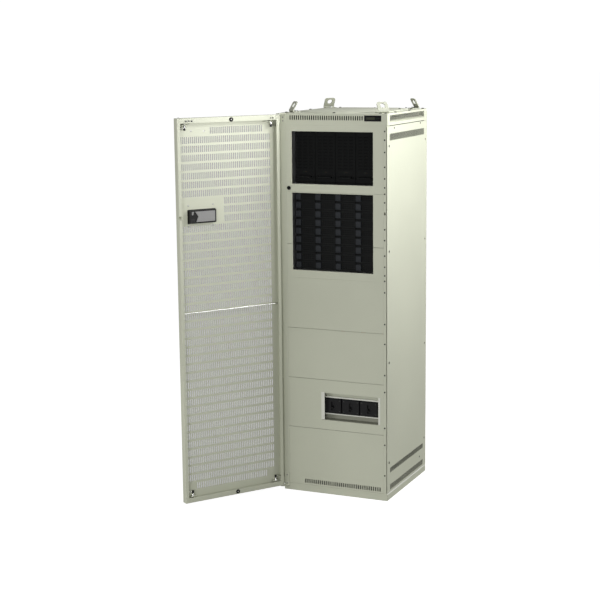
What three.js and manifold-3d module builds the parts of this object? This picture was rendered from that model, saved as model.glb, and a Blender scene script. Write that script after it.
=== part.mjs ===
// Floor-standing modular UPS cabinet in 19-inch format, front door open.
// Millimetres, +Z up. X runs left to right seen from the front, the front face
// looks towards -Y, and the origin is the centre of the cabinet's underside.
// Every sheet-metal piece, module, breaker, latch and bracket is one closed solid.

import * as THREE from 'three';
import { mergeVertices } from 'three/addons/utils/BufferGeometryUtils.js';
import Module from 'manifold-3d';

const wasm = await Module();
wasm.setup();

// ---------------------------------------------------------------- dimensions
const W = 585;             // cabinet width
const D = 600;             // cabinet depth without the door
const H = 2000;            // height of the roof edge
const U = 44.45;           // one rack unit
const PLINTH_H = 38;
const SHEET = 2;           // covers and fascia plates
const GAP = 0.4;           // clearance between neighbouring pieces
const SKIRT_Z = 1939;      // lower edge of the roof skirt
const LUG_INSET_X = 34.5;   // foot of a lifting lug from the cabinet's side and from its front or rear
const LUG_INSET_Y = 48;
const PLATEAU = 5;         // raised middle of the roof
const FRONT = -D / 2;      // front plane of the fascia

// fascia layout, heights of the seams between the front plates
const Z_BASE = 38.6, Z_S1 = 350.5, Z_S2 = 617.2, Z_S3 = 883.9, Z_S4 = 1150.6;
const Z_S5 = 1326.2, Z_S6 = 1596.6, Z_TOP = 1938;
const PANEL_X0 = -261.5, PANEL_X1 = 271.5;   // fascia plates between the corner strips
const STRIP_L = -262.5, STRIP_R = 272.5;     // inner edges of the corner strips

// equipment bays
const BAY_X0 = -230, BAY_X1 = 216;
const BAY1_Z0 = 1638, BAY1_Z1 = 1907;
const BAY2_Z0 = 1191, BAY2_Z1 = 1592;
const RECESS = 45;         // module faces behind the fascia
const MODULE_FACE = FRONT + RECESS;
const POWER_DEPTH = 400, ROW_DEPTH = 300, ROWS = 9, COLS = 4;

// breaker recess
const BRK_X0 = -72, BRK_X1 = 243, BRK_Z0 = 402, BRK_Z1 = 548;
const BRK_PITCH = 101, BRK_W = 97.5, BRK_H = 82, BRK_CX = 80, BRK_CZ = 476;
const BRK_FACE = FRONT + 20, BRK_BACK = BRK_FACE + 16;

// door, drawn closed and then swung open
const DOOR_OPEN = 124.5;   // degrees from closed, the pose it is drawn in
const DOOR_T = 35;         // depth of the folded tray
const DOOR_SKIN = 1.5;
const DOOR_LIP = 18;          // return lips of the two sides
const DOOR_LIP_END = 26;      // return lips of the top and bottom
const DOOR_GAP = 4.5;      // lips to fascia when closed
const DOOR_Z0 = 27, DOOR_Z1 = 1992;
const DOOR_Y1 = FRONT - DOOR_GAP, DOOR_Y0 = DOOR_Y1 - DOOR_T;
const HINGE_X = -294.5, HINGE_Y = -317.5;

// ---------------------------------------------------------------- helpers
function toManifold(geometry) {
  let g = geometry.clone();
  g.deleteAttribute('normal');
  g.deleteAttribute('uv');
  g = mergeVertices(g, 1e-4);
  return new wasm.Manifold(new wasm.Mesh({
    numProp: 3,
    vertProperties: new Float32Array(g.attributes.position.array),
    triVerts: new Uint32Array(g.index.array),
  }));
}
function toGeometry(solid) {
  const mesh = solid.getMesh();
  const g = new THREE.BufferGeometry();
  g.setAttribute('position', new THREE.BufferAttribute(new Float32Array(mesh.vertProperties), 3));
  g.setIndex(new THREE.BufferAttribute(new Uint32Array(mesh.triVerts), 1));
  g.computeVertexNormals();
  return g;
}
const box = (x0, x1, y0, y1, z0, z1) => {
  const g = new THREE.BoxGeometry(x1 - x0, y1 - y0, z1 - z0);
  g.translate((x0 + x1) / 2, (y0 + y1) / 2, (z0 + z1) / 2);
  return toManifold(g);
};
function cyl(axis, cx, cy, cz, r, length, seg = 24, r2 = r) {
  const g = new THREE.CylinderGeometry(r2, r, length, seg);   // along +Y, base radius r
  if (axis === 'z') g.rotateX(Math.PI / 2);
  if (axis === 'x') g.rotateZ(-Math.PI / 2);
  g.translate(cx, cy, cz);
  return toManifold(g);
}
// outline given as [a, b] points, extruded from t0 to t1
function prism(points, plane, t0, t1) {
  const shape = new THREE.Shape(points.map(([a, b]) => new THREE.Vector2(a, b)));
  const g = new THREE.ExtrudeGeometry(shape, { depth: t1 - t0, bevelEnabled: false });
  g.translate(0, 0, t0);
  // plane 'xy': extrude along Z; 'xz': extrude along -Y; 'yz': extrude along X
  if (plane === 'xz') g.rotateX(Math.PI / 2);
  if (plane === 'yz') g.applyMatrix4(new THREE.Matrix4().makeBasis(
    new THREE.Vector3(0, 1, 0), new THREE.Vector3(0, 0, 1), new THREE.Vector3(1, 0, 0)));
  return toManifold(g);
}
const union = (...s) => s.reduce((a, b) => a.add(b));
const cut = (a, ...s) => s.reduce((q, b) => q.subtract(b), a);

const cabinet = new THREE.Group();
const door = new THREE.Group();
function place(name, solid, look, parent = cabinet) {
  const mesh = new THREE.Mesh(toGeometry(solid), new THREE.MeshStandardMaterial({
    color: look[0], roughness: look[1], metalness: look[2],
  }));
  mesh.name = name;
  parent.add(mesh);
  return mesh;
}

// colour, roughness, metalness
const PAINT = ['#c9cab8', 0.5, 0.05];
const PAINT_IN = ['#bdbeac', 0.55, 0.05];
const BLACK = ['#1b1d1d', 0.55, 0.0];
const SLATE = ['#34383d', 0.5, 0.0];
const ZINC = ['#a9abaa', 0.4, 0.8];
const CHROME = ['#d5d6d4', 0.18, 1.0];
const RUBBER = ['#161616', 0.85, 0.0];
const COPPER = ['#b06c44', 0.35, 0.9];
const DISPLAY = ['#0e0f10', 0.2, 0.0];
const MOULD = ['#202122', 0.45, 0.0];

// ---------------------------------------------------------------- structure
// base tray: the floor plate with a turned-up rim, and a cable entry near the back
place('base_plinth', cut(
  box(-W / 2, W / 2, -D / 2, D / 2, 0, PLINTH_H),
  box(-W / 2 + 25, W / 2 - 25, -D / 2 + 25, D / 2 - 25, 4, PLINTH_H + 1),
  box(-150, 150, 150, 240, -1, 5),
), PAINT);

// corner posts: folded channels standing on the rim of the base tray
const POST_Z0 = PLINTH_H + 0.4, POST_Z1 = 1938;
const side = W / 2 - SHEET - GAP;      // inner face of the side covers
const post = (name, pts) => place(name, prism(pts, 'xy', POST_Z0, POST_Z1), PAINT);
// front posts show their face strip beside the fascia plates
place('post_front_left', prism([
  [-side, FRONT], [STRIP_L, FRONT], [STRIP_L, FRONT + 20], [STRIP_L - 2, FRONT + 20],
  [STRIP_L - 2, FRONT + 2], [-side + 2, FRONT + 2], [-side + 2, FRONT + 38], [-side, FRONT + 38],
], 'xy', POST_Z0, POST_Z1), PAINT);
// the right post has the slot that the door's latch hook enters
place('post_front_right', cut(prism([
  [side, FRONT], [side, FRONT + 38], [side - 2, FRONT + 38], [side - 2, FRONT + 2],
  [STRIP_R + 2, FRONT + 2], [STRIP_R + 2, FRONT + 20], [STRIP_R, FRONT + 20], [STRIP_R, FRONT],
], 'xy', POST_Z0, POST_Z1), box(274.6, 283.2, FRONT - 1, FRONT + 3, 1484, 1516)), PAINT);
const rear = D / 2 - SHEET - GAP;
post('post_rear_left', [[-side, rear - 38], [-side + 2, rear - 38], [-side + 2, rear - 2],
  [-side + 38, rear - 2], [-side + 38, rear], [-side, rear]]);
post('post_rear_right', [[side, rear - 38], [side, rear], [side - 38, rear],
  [side - 38, rear - 2], [side - 2, rear - 2], [side - 2, rear - 38]]);

// top frame: ring that ties the posts together under the roof
place('top_frame', cut(
  box(-W / 2 + 3, W / 2 - 3, -D / 2 + 3, D / 2 - 3, POST_Z1 + GAP, POST_Z1 + 24),
  box(-W / 2 + 40, W / 2 - 40, -D / 2 + 40, D / 2 - 40, POST_Z1 - 1, POST_Z1 + 30),
), PAINT_IN);

// roof cover: skirted lid with a raised middle whose corners are cut back for the lugs
const plateauOutline = (inset) => {
  const px = W / 2 - 40 - inset, py = D / 2 - 40 - inset, c = 95;
  return [[-px, -py + c], [-px + c, -py], [px - c, -py], [px, -py + c],
    [px, py - c], [px - c, py], [-px + c, py], [-px, py - c]];
};
place('roof_cover', cut(
  union(box(-W / 2, W / 2, -D / 2, D / 2, SKIRT_Z, H),
    prism(plateauOutline(0), 'xy', H - 1, H + PLATEAU)),
  box(-W / 2 + SHEET, W / 2 - SHEET, -D / 2 + SHEET, D / 2 - SHEET, SKIRT_Z - 1, H - SHEET),
  prism(plateauOutline(SHEET), 'xy', H - SHEET - 1, H + PLATEAU - SHEET),
  box(168.5, 260.5, -D / 2 - 1, -D / 2 + SHEET + 1, 1960.5, 1990.5),
), PAINT);

// status display set into the front of the roof skirt
place('status_display', union(
  box(169, 260, FRONT - 1.5, FRONT + 1.9, 1961, 1990),
  box(175, 254, FRONT + 1.5, FRONT + 24, 1964, 1987),
), DISPLAY);

// covers
place('side_panel_left', box(-W / 2, -W / 2 + SHEET, -D / 2 + 1, D / 2 - 2.6, 38.6, 1938), PAINT);
place('side_panel_right', box(W / 2 - SHEET, W / 2, -D / 2 + 1, D / 2 - 2.6, 38.6, 1938), PAINT);
place('rear_panel', box(-W / 2, W / 2, D / 2 - SHEET, D / 2, 38.6, 1938), PAINT);

// lifting lugs: bent straps bolted to the roof corners, leaning towards the middle
for (const [name, sx, sy] of [['lifting_lug_front_left', -1, -1], ['lifting_lug_front_right', 1, -1],
  ['lifting_lug_rear_left', -1, 1], ['lifting_lug_rear_right', 1, 1]]) {
  // profile in the vertical plane of the corner's diagonal: u towards the middle
  const profile = [[0, 0], [45, 0], [45, 5], [8.66, 5], [36.83, 53.8], [32.5, 56.3]];
  const shape = new THREE.Shape(profile.map(([a, b]) => new THREE.Vector2(a, b)));
  const g = new THREE.ExtrudeGeometry(shape, { depth: 60, bevelEnabled: false });
  g.translate(0, 0, -30);
  g.rotateX(Math.PI / 2);                       // u = X, up = Z, width = -Y
  const e = new THREE.CylinderGeometry(13, 13, 30, 20);
  e.rotateZ(-Math.PI / 2);
  e.rotateY(Math.PI / 6);                       // across the leaning strap
  e.translate(18.7 + 2.2, 0, 32.4 - 1.2);
  let lug = toManifold(g).subtract(toManifold(e));
  const angle = Math.atan2(-sy, -sx);
  const m = new THREE.Matrix4().makeRotationZ(angle);
  m.setPosition(sx * (W / 2 - LUG_INSET_X), sy * (D / 2 - LUG_INSET_Y), H + 0.3);
  const geo = toGeometry(lug);
  geo.applyMatrix4(m);
  place(name, toManifold(geo), PAINT);
}

// ---------------------------------------------------------------- fascia
const plate = (z0, z1) => box(PANEL_X0, PANEL_X1, FRONT, FRONT + SHEET, z0 + 0.6, z1 - 0.6);
place('upper_bay_bezel', cut(plate(Z_S6, Z_TOP + 0.6),
  box(BAY_X0, BAY_X1, FRONT - 1, FRONT + 3, BAY1_Z0, BAY1_Z1),
  cyl('y', -248, FRONT, 1615.5, 10.6, 12, 24)), PAINT);
place('middle_bay_bezel', cut(plate(Z_S5, Z_S6),
  box(BAY_X0, BAY_X1, FRONT - 1, FRONT + 3, Z_S5 - 5, BAY2_Z1)), PAINT);
place('lower_bay_bezel', cut(plate(Z_S4, Z_S5),
  box(BAY_X0, BAY_X1, FRONT - 1, FRONT + 3, BAY2_Z0, Z_S5 + 5)), PAINT);
place('blank_panel_upper', plate(Z_S3, Z_S4), PAINT);
place('blank_panel_lower', plate(Z_S2, Z_S3), PAINT);
place('breaker_panel', cut(plate(Z_S1, Z_S2),
  box(BRK_X0, BRK_X1, FRONT - 1, FRONT + 3, BRK_Z0, BRK_Z1)), PAINT);
place('base_vent_panel', plate(Z_BASE - 0.6, Z_S1), PAINT);

// quarter-turn lock between the bays
place('bay_lock', union(
  cyl('y', -248, FRONT - 1, 1615.5, 10, 6, 24),
  cyl('y', -248, FRONT + 12, 1615.5, 6, 22, 16),
  box(-251, -245, FRONT + 20, FRONT + 23, 1596, 1619),
), BLACK);

// ---------------------------------------------------------------- equipment
// open-ended cages behind the bay bezels
const cage = (z0, z1, y1) => cut(
  box(BAY_X0 - 2.5, BAY_X1 + 2.5, FRONT + 2.4, y1, z0 - 2.5, z1 + 2.5),
  box(BAY_X0 - 0.3, BAY_X1 + 0.3, FRONT, y1 + 1, z0 - 0.3, z1 + 0.3));
place('upper_module_cage', cage(BAY1_Z0, BAY1_Z1, MODULE_FACE + POWER_DEPTH + 2), ZINC);
place('lower_module_cage', cage(BAY2_Z0, BAY2_Z1, MODULE_FACE + ROW_DEPTH + 2), ZINC);

const COL = (BAY_X1 - BAY_X0) / COLS;
for (let i = 0; i < COLS; i++) {
  const x0 = BAY_X0 + i * COL + 0.8, x1 = BAY_X0 + (i + 1) * COL - 0.8;
  const y0 = MODULE_FACE, y1 = MODULE_FACE + POWER_DEPTH;
  // body, air intake recess, and the pull handle across the foot of the face
  place(`power_module_${i + 1}`, union(cut(
    box(x0, x1, y0, y1, BAY1_Z0 + 0.8, BAY1_Z1 - 1.6),
    box(x0 + 9, x1 - 9, y0 - 1, y0 + 4, BAY1_Z0 + 62, BAY1_Z1 - 14)),
  box(x0 + 16, x0 + 22, y0 - 22, y0 + 1, BAY1_Z0 + 28, BAY1_Z0 + 40),
  box(x1 - 22, x1 - 16, y0 - 22, y0 + 1, BAY1_Z0 + 28, BAY1_Z0 + 40),
  box(x0 + 16, x1 - 16, y0 - 28, y0 - 20, BAY1_Z0 + 28, BAY1_Z0 + 40),
  ), BLACK);
}
for (let r = 0; r < ROWS; r++) {
  const z0 = BAY2_Z0 + 0.6 + r * U, z1 = z0 + U - 1.0, y0 = MODULE_FACE;
  let row = box(BAY_X0 + 0.8, BAY_X1 - 0.8, y0, y0 + ROW_DEPTH, z0, z1);
  for (let c = 1; c < COLS; c++) {
    const xc = BAY_X0 + c * COL;
    row = row.subtract(box(xc - 0.8, xc + 0.8, y0 - 1, y0 + 60, z0 - 1, z1 + 1));
  }
  for (let c = 0; c < COLS; c++) {
    const xc = BAY_X0 + c * COL + 2.5;
    // ejector handle at the left end of every module
    row = row.add(box(xc, xc + 29, y0 - 12, y0 + 1, z0 + 5, z1 - 5));
  }
  place(`module_row_${r + 1}`, row, SLATE);
}

// backplane with three copper bars up its rear face
place('power_backplane', union(
  box(BAY_X0 + 4, BAY_X1 - 4, MODULE_FACE + POWER_DEPTH + 4, MODULE_FACE + POWER_DEPTH + 8, 1180, 1900),
  box(-150, -125, MODULE_FACE + POWER_DEPTH + 7, MODULE_FACE + POWER_DEPTH + 14, 700, 1880),
  box(-30, -5, MODULE_FACE + POWER_DEPTH + 7, MODULE_FACE + POWER_DEPTH + 14, 700, 1880),
  box(90, 115, MODULE_FACE + POWER_DEPTH + 7, MODULE_FACE + POWER_DEPTH + 14, 700, 1880),
), COPPER);

// set-back pan with the window that the three breakers look through
const win = [BRK_CX - 1.5 * BRK_PITCH, BRK_CX + 1.5 * BRK_PITCH];
place('breaker_pan', cut(
  box(BRK_X0 - 12, BRK_X1 + 12, FRONT + 2.4, BRK_BACK + 4, BRK_Z0 - 12, BRK_Z1 + 12),
  box(BRK_X0 - 0.2, BRK_X1 + 0.2, FRONT, BRK_BACK, BRK_Z0 - 0.2, BRK_Z1 + 0.2),
  box(win[0], win[1], FRONT, FRONT + 60, BRK_CZ - BRK_H / 2 - 0.6, BRK_CZ + BRK_H / 2 + 0.6),
  // relief behind the rim keeps the pan a thin folded sheet
  box(BRK_X0 - 20, BRK_X0 - 2, FRONT + 5, FRONT + 60, BRK_Z0 - 20, BRK_Z1 + 20),
  box(BRK_X1 + 2, BRK_X1 + 20, FRONT + 5, FRONT + 60, BRK_Z0 - 20, BRK_Z1 + 20),
  box(BRK_X0 - 20, BRK_X1 + 20, FRONT + 5, FRONT + 60, BRK_Z0 - 20, BRK_Z0 - 2),
  box(BRK_X0 - 20, BRK_X1 + 20, FRONT + 5, FRONT + 60, BRK_Z1 + 2, BRK_Z1 + 20),
), PAINT_IN);
for (let i = 0; i < 3; i++) {
  const cx = BRK_CX + (i - 1) * BRK_PITCH;
  const body = cut(union(
    box(cx - BRK_W / 2, cx + BRK_W / 2, BRK_FACE + 6, BRK_FACE + 90, BRK_CZ - BRK_H / 2, BRK_CZ + BRK_H / 2),
    box(cx - 30, cx + 30, BRK_FACE, BRK_FACE + 7, BRK_CZ - BRK_H / 2 + 4, BRK_CZ + BRK_H / 2 - 4)),
  box(cx - 7, cx + 7, BRK_FACE - 1, BRK_FACE + 22, BRK_CZ - 22, BRK_CZ + 22));
  place(`breaker_${i + 1}`, body, MOULD);
  // toggle: round hub on a cross pivot and a blade that points out and down
  const pivotY = BRK_FACE + 13;
  const lever = new THREE.BoxGeometry(9, 24, 8);
  lever.translate(0, -12, 0);
  lever.rotateX(0.42);
  lever.translate(cx, pivotY, BRK_CZ);
  place(`breaker_toggle_${i + 1}`, union(cyl('x', cx, pivotY, BRK_CZ, 6.5, 12, 20),
    toManifold(lever)), BLACK);
}

// output terminal block on the base tray
place('terminal_block', cut(
  box(-190, 190, 40, 110, 4.4, 84),
  ...[-150, -100, -50, 0, 50, 100, 150].map((x) => box(x - 2, x + 2, 35, 95, 44, 90)),
), BLACK);

// hinge brackets: a leg screwed to the left strip and a tongue in front for the hinge pin
const bracket = (z0, legZ0, legZ1) => cut(union(
  box(-304, -262.5, -330, FRONT - 0.3, z0, z0 + 4),
  box(-290, -264, FRONT - 3.3, FRONT - 0.3, legZ0, legZ1)),
cyl('z', HINGE_X, HINGE_Y, z0 + 2, 4.7, 12, 24));
place('hinge_bracket_top', bracket(1993.8, 1950, 1994.5), ZINC);
place('hinge_bracket_bottom', bracket(21, 22, 92), ZINC);

// ---------------------------------------------------------------- door
// folded tray: skin, four flanges and return lips, with a hinge knuckle at both ends
const dx0 = -W / 2, dx1 = W / 2;
let tray = box(dx0, dx1, DOOR_Y0, DOOR_Y1, DOOR_Z0, DOOR_Z1);
tray = cut(tray,
  box(dx0 + DOOR_SKIN, dx1 - DOOR_SKIN, DOOR_Y0 + DOOR_SKIN, DOOR_Y1 - DOOR_SKIN,
    DOOR_Z0 + DOOR_SKIN, DOOR_Z1 - DOOR_SKIN),
  box(dx0 + DOOR_LIP, dx1 - DOOR_LIP, DOOR_Y1 - 3, DOOR_Y1 + 1, DOOR_Z0 + DOOR_LIP_END, DOOR_Z1 - DOOR_LIP_END));
const knuckle = (z0, z1) => union(
  cyl('z', HINGE_X, HINGE_Y, (z0 + z1) / 2, 7.5, z1 - z0, 24),
  box(HINGE_X, -283, HINGE_Y - 7.5, HINGE_Y + 7.5, z0, z1));
const KN_TOP = [1944, 1991], KN_BOT = [28, 75];
tray = union(tray, knuckle(...KN_TOP), knuckle(...KN_BOT));
tray = cut(tray,
  cyl('z', HINGE_X, HINGE_Y, 1968, 4.5, 60, 24), cyl('z', HINGE_X, HINGE_Y, 50, 4.5, 60, 24),
  // slots in the hinge flange that the pull arms of the hinge bolts pass through
  box(dx0 - 1, dx0 + 3, HINGE_Y - 3.5, HINGE_Y + 3.5, 1917, 1944.5),
  box(dx0 - 1, dx0 + 3, HINGE_Y - 3.5, HINGE_Y + 3.5, 74.5, 102),
  // holes in the end flanges for the bolts of the free side
  cyl('z', 278, HINGE_Y, 1992, 4.5, 10, 24), cyl('z', 278, HINGE_Y, 27, 4.5, 10, 24),
  // notch in the return lip that the latch hook passes through
  box(266, 290.6, DOOR_Y1 - 3.5, DOOR_Y1 + 1, 1488, 1512),
  // window for the flush handle
  box(76, 231, DOOR_Y0 - 1, DOOR_Y0 + 4, 1466, 1534));
place('door_panel', tray, PAINT, door);

// thin stiffening bar across the inside of the door
place('door_stiffener',
  box(dx0 + 2.2, dx1 - 2.2, DOOR_Y0 + 14, DOOR_Y0 + 19, 1010, 1015), PAINT, door);

// flush handle: pan in the door, lever and latch slide
const PAN_Y1 = DOOR_Y0 + 24;
place('door_lock_housing', cut(
  union(box(74, 233, DOOR_Y0 - 2.4, DOOR_Y0 - 0.4, 1464, 1536),
    box(76.6, 230.4, DOOR_Y0 - 1, PAN_Y1, 1466.6, 1533.4)),
  box(82, 225, DOOR_Y0 - 5, PAN_Y1 - 5, 1472, 1528),
  // groove behind the pan for the latch slide
  box(146, 240, PAN_Y1 - 2.5, PAN_Y1 + 1, 1491, 1509),
), BLACK, door);
// lever, hinged about an upright pin at its inner end; a finger slot stays free under the tip
place('door_handle', union(
  box(98, 204, DOOR_Y0 - 2.4, DOOR_Y0 + 2.6, 1480, 1520),
  cyl('z', 98, DOOR_Y0 + 2.4, 1500, 5, 50, 20)), BLACK, door);
// latch slide: bar behind the pan, hook that reaches through the slot of the right post
place('latch_slide', union(
  box(155, 282.5, PAN_Y1 - 2, PAN_Y1 + 1.4, 1492, 1508),
  box(280, 282.5, PAN_Y1 - 2, FRONT + 12, 1492, 1508),
  box(280, 286.6, FRONT + 7, FRONT + 12, 1492, 1508)), ZINC, door);

// spring bolts: pin, pull arm and chromed pull knob
function bolt(name, px, dir, zTip, armZ, kx) {
  const z0 = Math.min(zTip, armZ), z1 = Math.max(zTip, armZ);
  place(name, union(
    cyl('z', px, HINGE_Y, (z0 + z1) / 2, 4, z1 - z0, 20),
    box(Math.min(px, kx), Math.max(px, kx), HINGE_Y - 2, HINGE_Y + 2,
      dir > 0 ? armZ : armZ - 4, dir > 0 ? armZ + 4 : armZ),
    cyl('z', kx, HINGE_Y, dir > 0 ? armZ + 1 : armZ - 1, 6, 14, 20)), CHROME, door);
}
bolt('hinge_bolt_top', HINGE_X, 1, 1999, 1936, -248);
bolt('hinge_bolt_bottom', HINGE_X, -1, 19.5, 83, -248);
bolt('free_bolt_top', 278, 1, 1996, 1936, 246);
bolt('free_bolt_bottom', 278, -1, 23, 83, 246);

// rubber buffers on the top and bottom lips
for (const [name, z] of [['door_buffer_top', 1977], ['door_buffer_bottom', 42]]) {
  place(name, cyl('y', -11, (DOOR_Y1 + 0.3 + FRONT - 0.4) / 2, z, 11, FRONT - 0.4 - DOOR_Y1 - 0.3, 24, 9.5), RUBBER, door);
}

// swing the whole door open about the hinge line
const swing = new THREE.Group();
swing.position.set(HINGE_X, HINGE_Y, 0);
swing.rotation.z = -DOOR_OPEN * Math.PI / 180;
door.position.set(-HINGE_X, -HINGE_Y, 0);
swing.add(door);
cabinet.add(swing);

export default cabinet;
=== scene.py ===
import math
import random

import bmesh
import bpy
from mathutils import Matrix, Vector
from mathutils.geometry import delaunay_2d_cdt


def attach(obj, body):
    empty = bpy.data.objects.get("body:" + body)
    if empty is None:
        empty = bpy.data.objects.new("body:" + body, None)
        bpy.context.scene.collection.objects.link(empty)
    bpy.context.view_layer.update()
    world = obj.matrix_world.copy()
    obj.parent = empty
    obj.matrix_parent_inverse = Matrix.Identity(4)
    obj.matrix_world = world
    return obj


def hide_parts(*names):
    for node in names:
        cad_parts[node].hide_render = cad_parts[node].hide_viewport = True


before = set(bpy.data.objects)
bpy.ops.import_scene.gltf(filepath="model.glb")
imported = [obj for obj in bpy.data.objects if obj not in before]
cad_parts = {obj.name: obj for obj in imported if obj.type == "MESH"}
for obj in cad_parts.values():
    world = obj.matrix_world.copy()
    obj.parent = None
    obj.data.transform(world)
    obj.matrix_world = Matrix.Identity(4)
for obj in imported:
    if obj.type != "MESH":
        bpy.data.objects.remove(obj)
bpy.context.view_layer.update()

MM = 0.001
random.seed(7)

# ------------------------------------------------------------------ dimensions, mm
W, D, H = 585.0, 600.0, 2000.0
U = 44.45
FRONT = -300.0
SEAMS = (38.0, 350.5, 617.2, 883.9, 1150.6, 1326.2, 1596.6, 1938.6)
PX0, PX1 = -261.5, 271.5
BAY_X0, BAY_X1 = -230.0, 216.0
BAY1 = (1638.0, 1907.0)
BAY2 = (1191.0, 1592.0)
FACE = FRONT + 45.0
COL = (BAY_X1 - BAY_X0) / 4
BRK = (-72.0, 243.0, 402.0, 548.0)
BRK_CX, BRK_CZ, BRK_P, BRK_W, BRK_H = 80.0, 476.0, 101.0, 97.5, 82.0
BRK_FACE = FRONT + 20.0
HX, HY, OPEN = -294.5, -317.5, math.radians(124.5)
DY1 = FRONT - 4.5
DY0 = DY1 - 35.0
DZ0, DZ1 = 27.0, 1992.0
PAN_Y1 = DY0 + 24.0
SKV = 1.6

# ------------------------------------------------------------------ outlines
def rect(a0, a1, b0, b1):
    return [(a0, b0), (a1, b0), (a1, b1), (a0, b1)]


def rrect(a0, a1, b0, b1, r, seg=4):
    r = min(r, (a1 - a0) / 2, (b1 - b0) / 2)
    pts = []
    for cx, cy, q in ((a1 - r, b0 + r, -90), (a1 - r, b1 - r, 0), (a0 + r, b1 - r, 90), (a0 + r, b0 + r, 180)):
        for i in range(seg + 1):
            t = math.radians(q + 90 * i / seg)
            pts.append((cx + r * math.cos(t), cy + r * math.sin(t)))
    out = []
    for p in pts:
        if not out or (abs(p[0] - out[-1][0]) > 1e-6 or abs(p[1] - out[-1][1]) > 1e-6):
            out.append(p)
    if abs(out[0][0] - out[-1][0]) < 1e-6 and abs(out[0][1] - out[-1][1]) < 1e-6:
        out.pop()
    return out


def slot(cx, cy, w, h, seg=2):
    return rrect(cx - w / 2, cx + w / 2, cy - h / 2, cy + h / 2, min(w, h) / 2, seg)


def circle(cx, cy, r, seg=24):
    return [(cx + r * math.cos(2 * math.pi * i / seg), cy + r * math.sin(2 * math.pi * i / seg)) for i in range(seg)]


def row_of_slots(a0, a1, b0, b1, pitch, w, seg=2):
    n = max(1, int(round((a1 - a0 - w) / pitch)) + 1)
    step = (a1 - a0 - w) / max(1, n - 1)
    return [slot(a0 + w / 2 + i * step, (b0 + b1) / 2, w, b1 - b0, seg) for i in range(n)]


def area(loop):
    return sum(loop[i][0] * loop[(i + 1) % len(loop)][1] - loop[(i + 1) % len(loop)][0] * loop[i][1] for i in range(len(loop))) / 2


def offset(loop, d):
    """Moves every side of an outline by d to its left for a counter-clockwise loop (inwards)."""
    if abs(d) < 1e-9:
        return list(loop)
    s = 1 if area(loop) > 0 else -1
    out, n = [], len(loop)
    for i in range(n):
        p, a, b = loop[i], loop[i - 1], loop[(i + 1) % n]
        e1 = Vector((p[0] - a[0], p[1] - a[1])).normalized()
        e2 = Vector((b[0] - p[0], b[1] - p[1])).normalized()
        n1, n2 = Vector((-e1.y, e1.x)), Vector((-e2.y, e2.x))
        m = n1 + n2
        k = max(0.25, 1 + n1.dot(n2))
        m = m / k
        out.append((p[0] + s * d * m.x, p[1] + s * d * m.y))
    return out


def inside(c, loop):
    hit = False
    j = len(loop) - 1
    for i in range(len(loop)):
        if (loop[i][1] > c[1]) != (loop[j][1] > c[1]) and c[0] < (loop[j][0] - loop[i][0]) * (c[1] - loop[i][1]) / (loop[j][1] - loop[i][1]) + loop[i][0]:
            hit = not hit
        j = i
    return hit


def triangulate(loops):
    pts, ed, own = [], [], []
    for k, l in enumerate(loops):
        n0 = len(pts)
        pts += [Vector((p[0], p[1])) for p in l]
        own += [k] * len(l)
        ed += [(n0 + i, n0 + (i + 1) % len(l)) for i in range(len(l))]
    co, _, fa, ov, _, _ = delaunay_2d_cdt(pts, ed, [], 1, 1e-5)
    owner, back = [-1] * len(co), {}
    for o, src in enumerate(ov):
        for s in src:
            back[s] = o
        if src:
            owner[o] = own[src[0]]
    keep = []
    for f in fa:
        ks = {owner[i] for i in f}
        if len(ks) == 1 and 0 not in ks:
            c = ((co[f[0]][0] + co[f[1]][0] + co[f[2]][0]) / 3, (co[f[0]][1] + co[f[1]][1] + co[f[2]][1]) / 3)
            if inside(c, loops[next(iter(ks))]):
                continue
        keep.append(tuple(f))
    return [(c[0], c[1]) for c in co], keep, [back[i] for i in range(len(pts))]


PLANES = {
    "xy": lambda a, b, t: (a, b, t),
    "xz": lambda a, b, t: (a, t, b),
    "yz": lambda a, b, t: (t, a, b),
}


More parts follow.
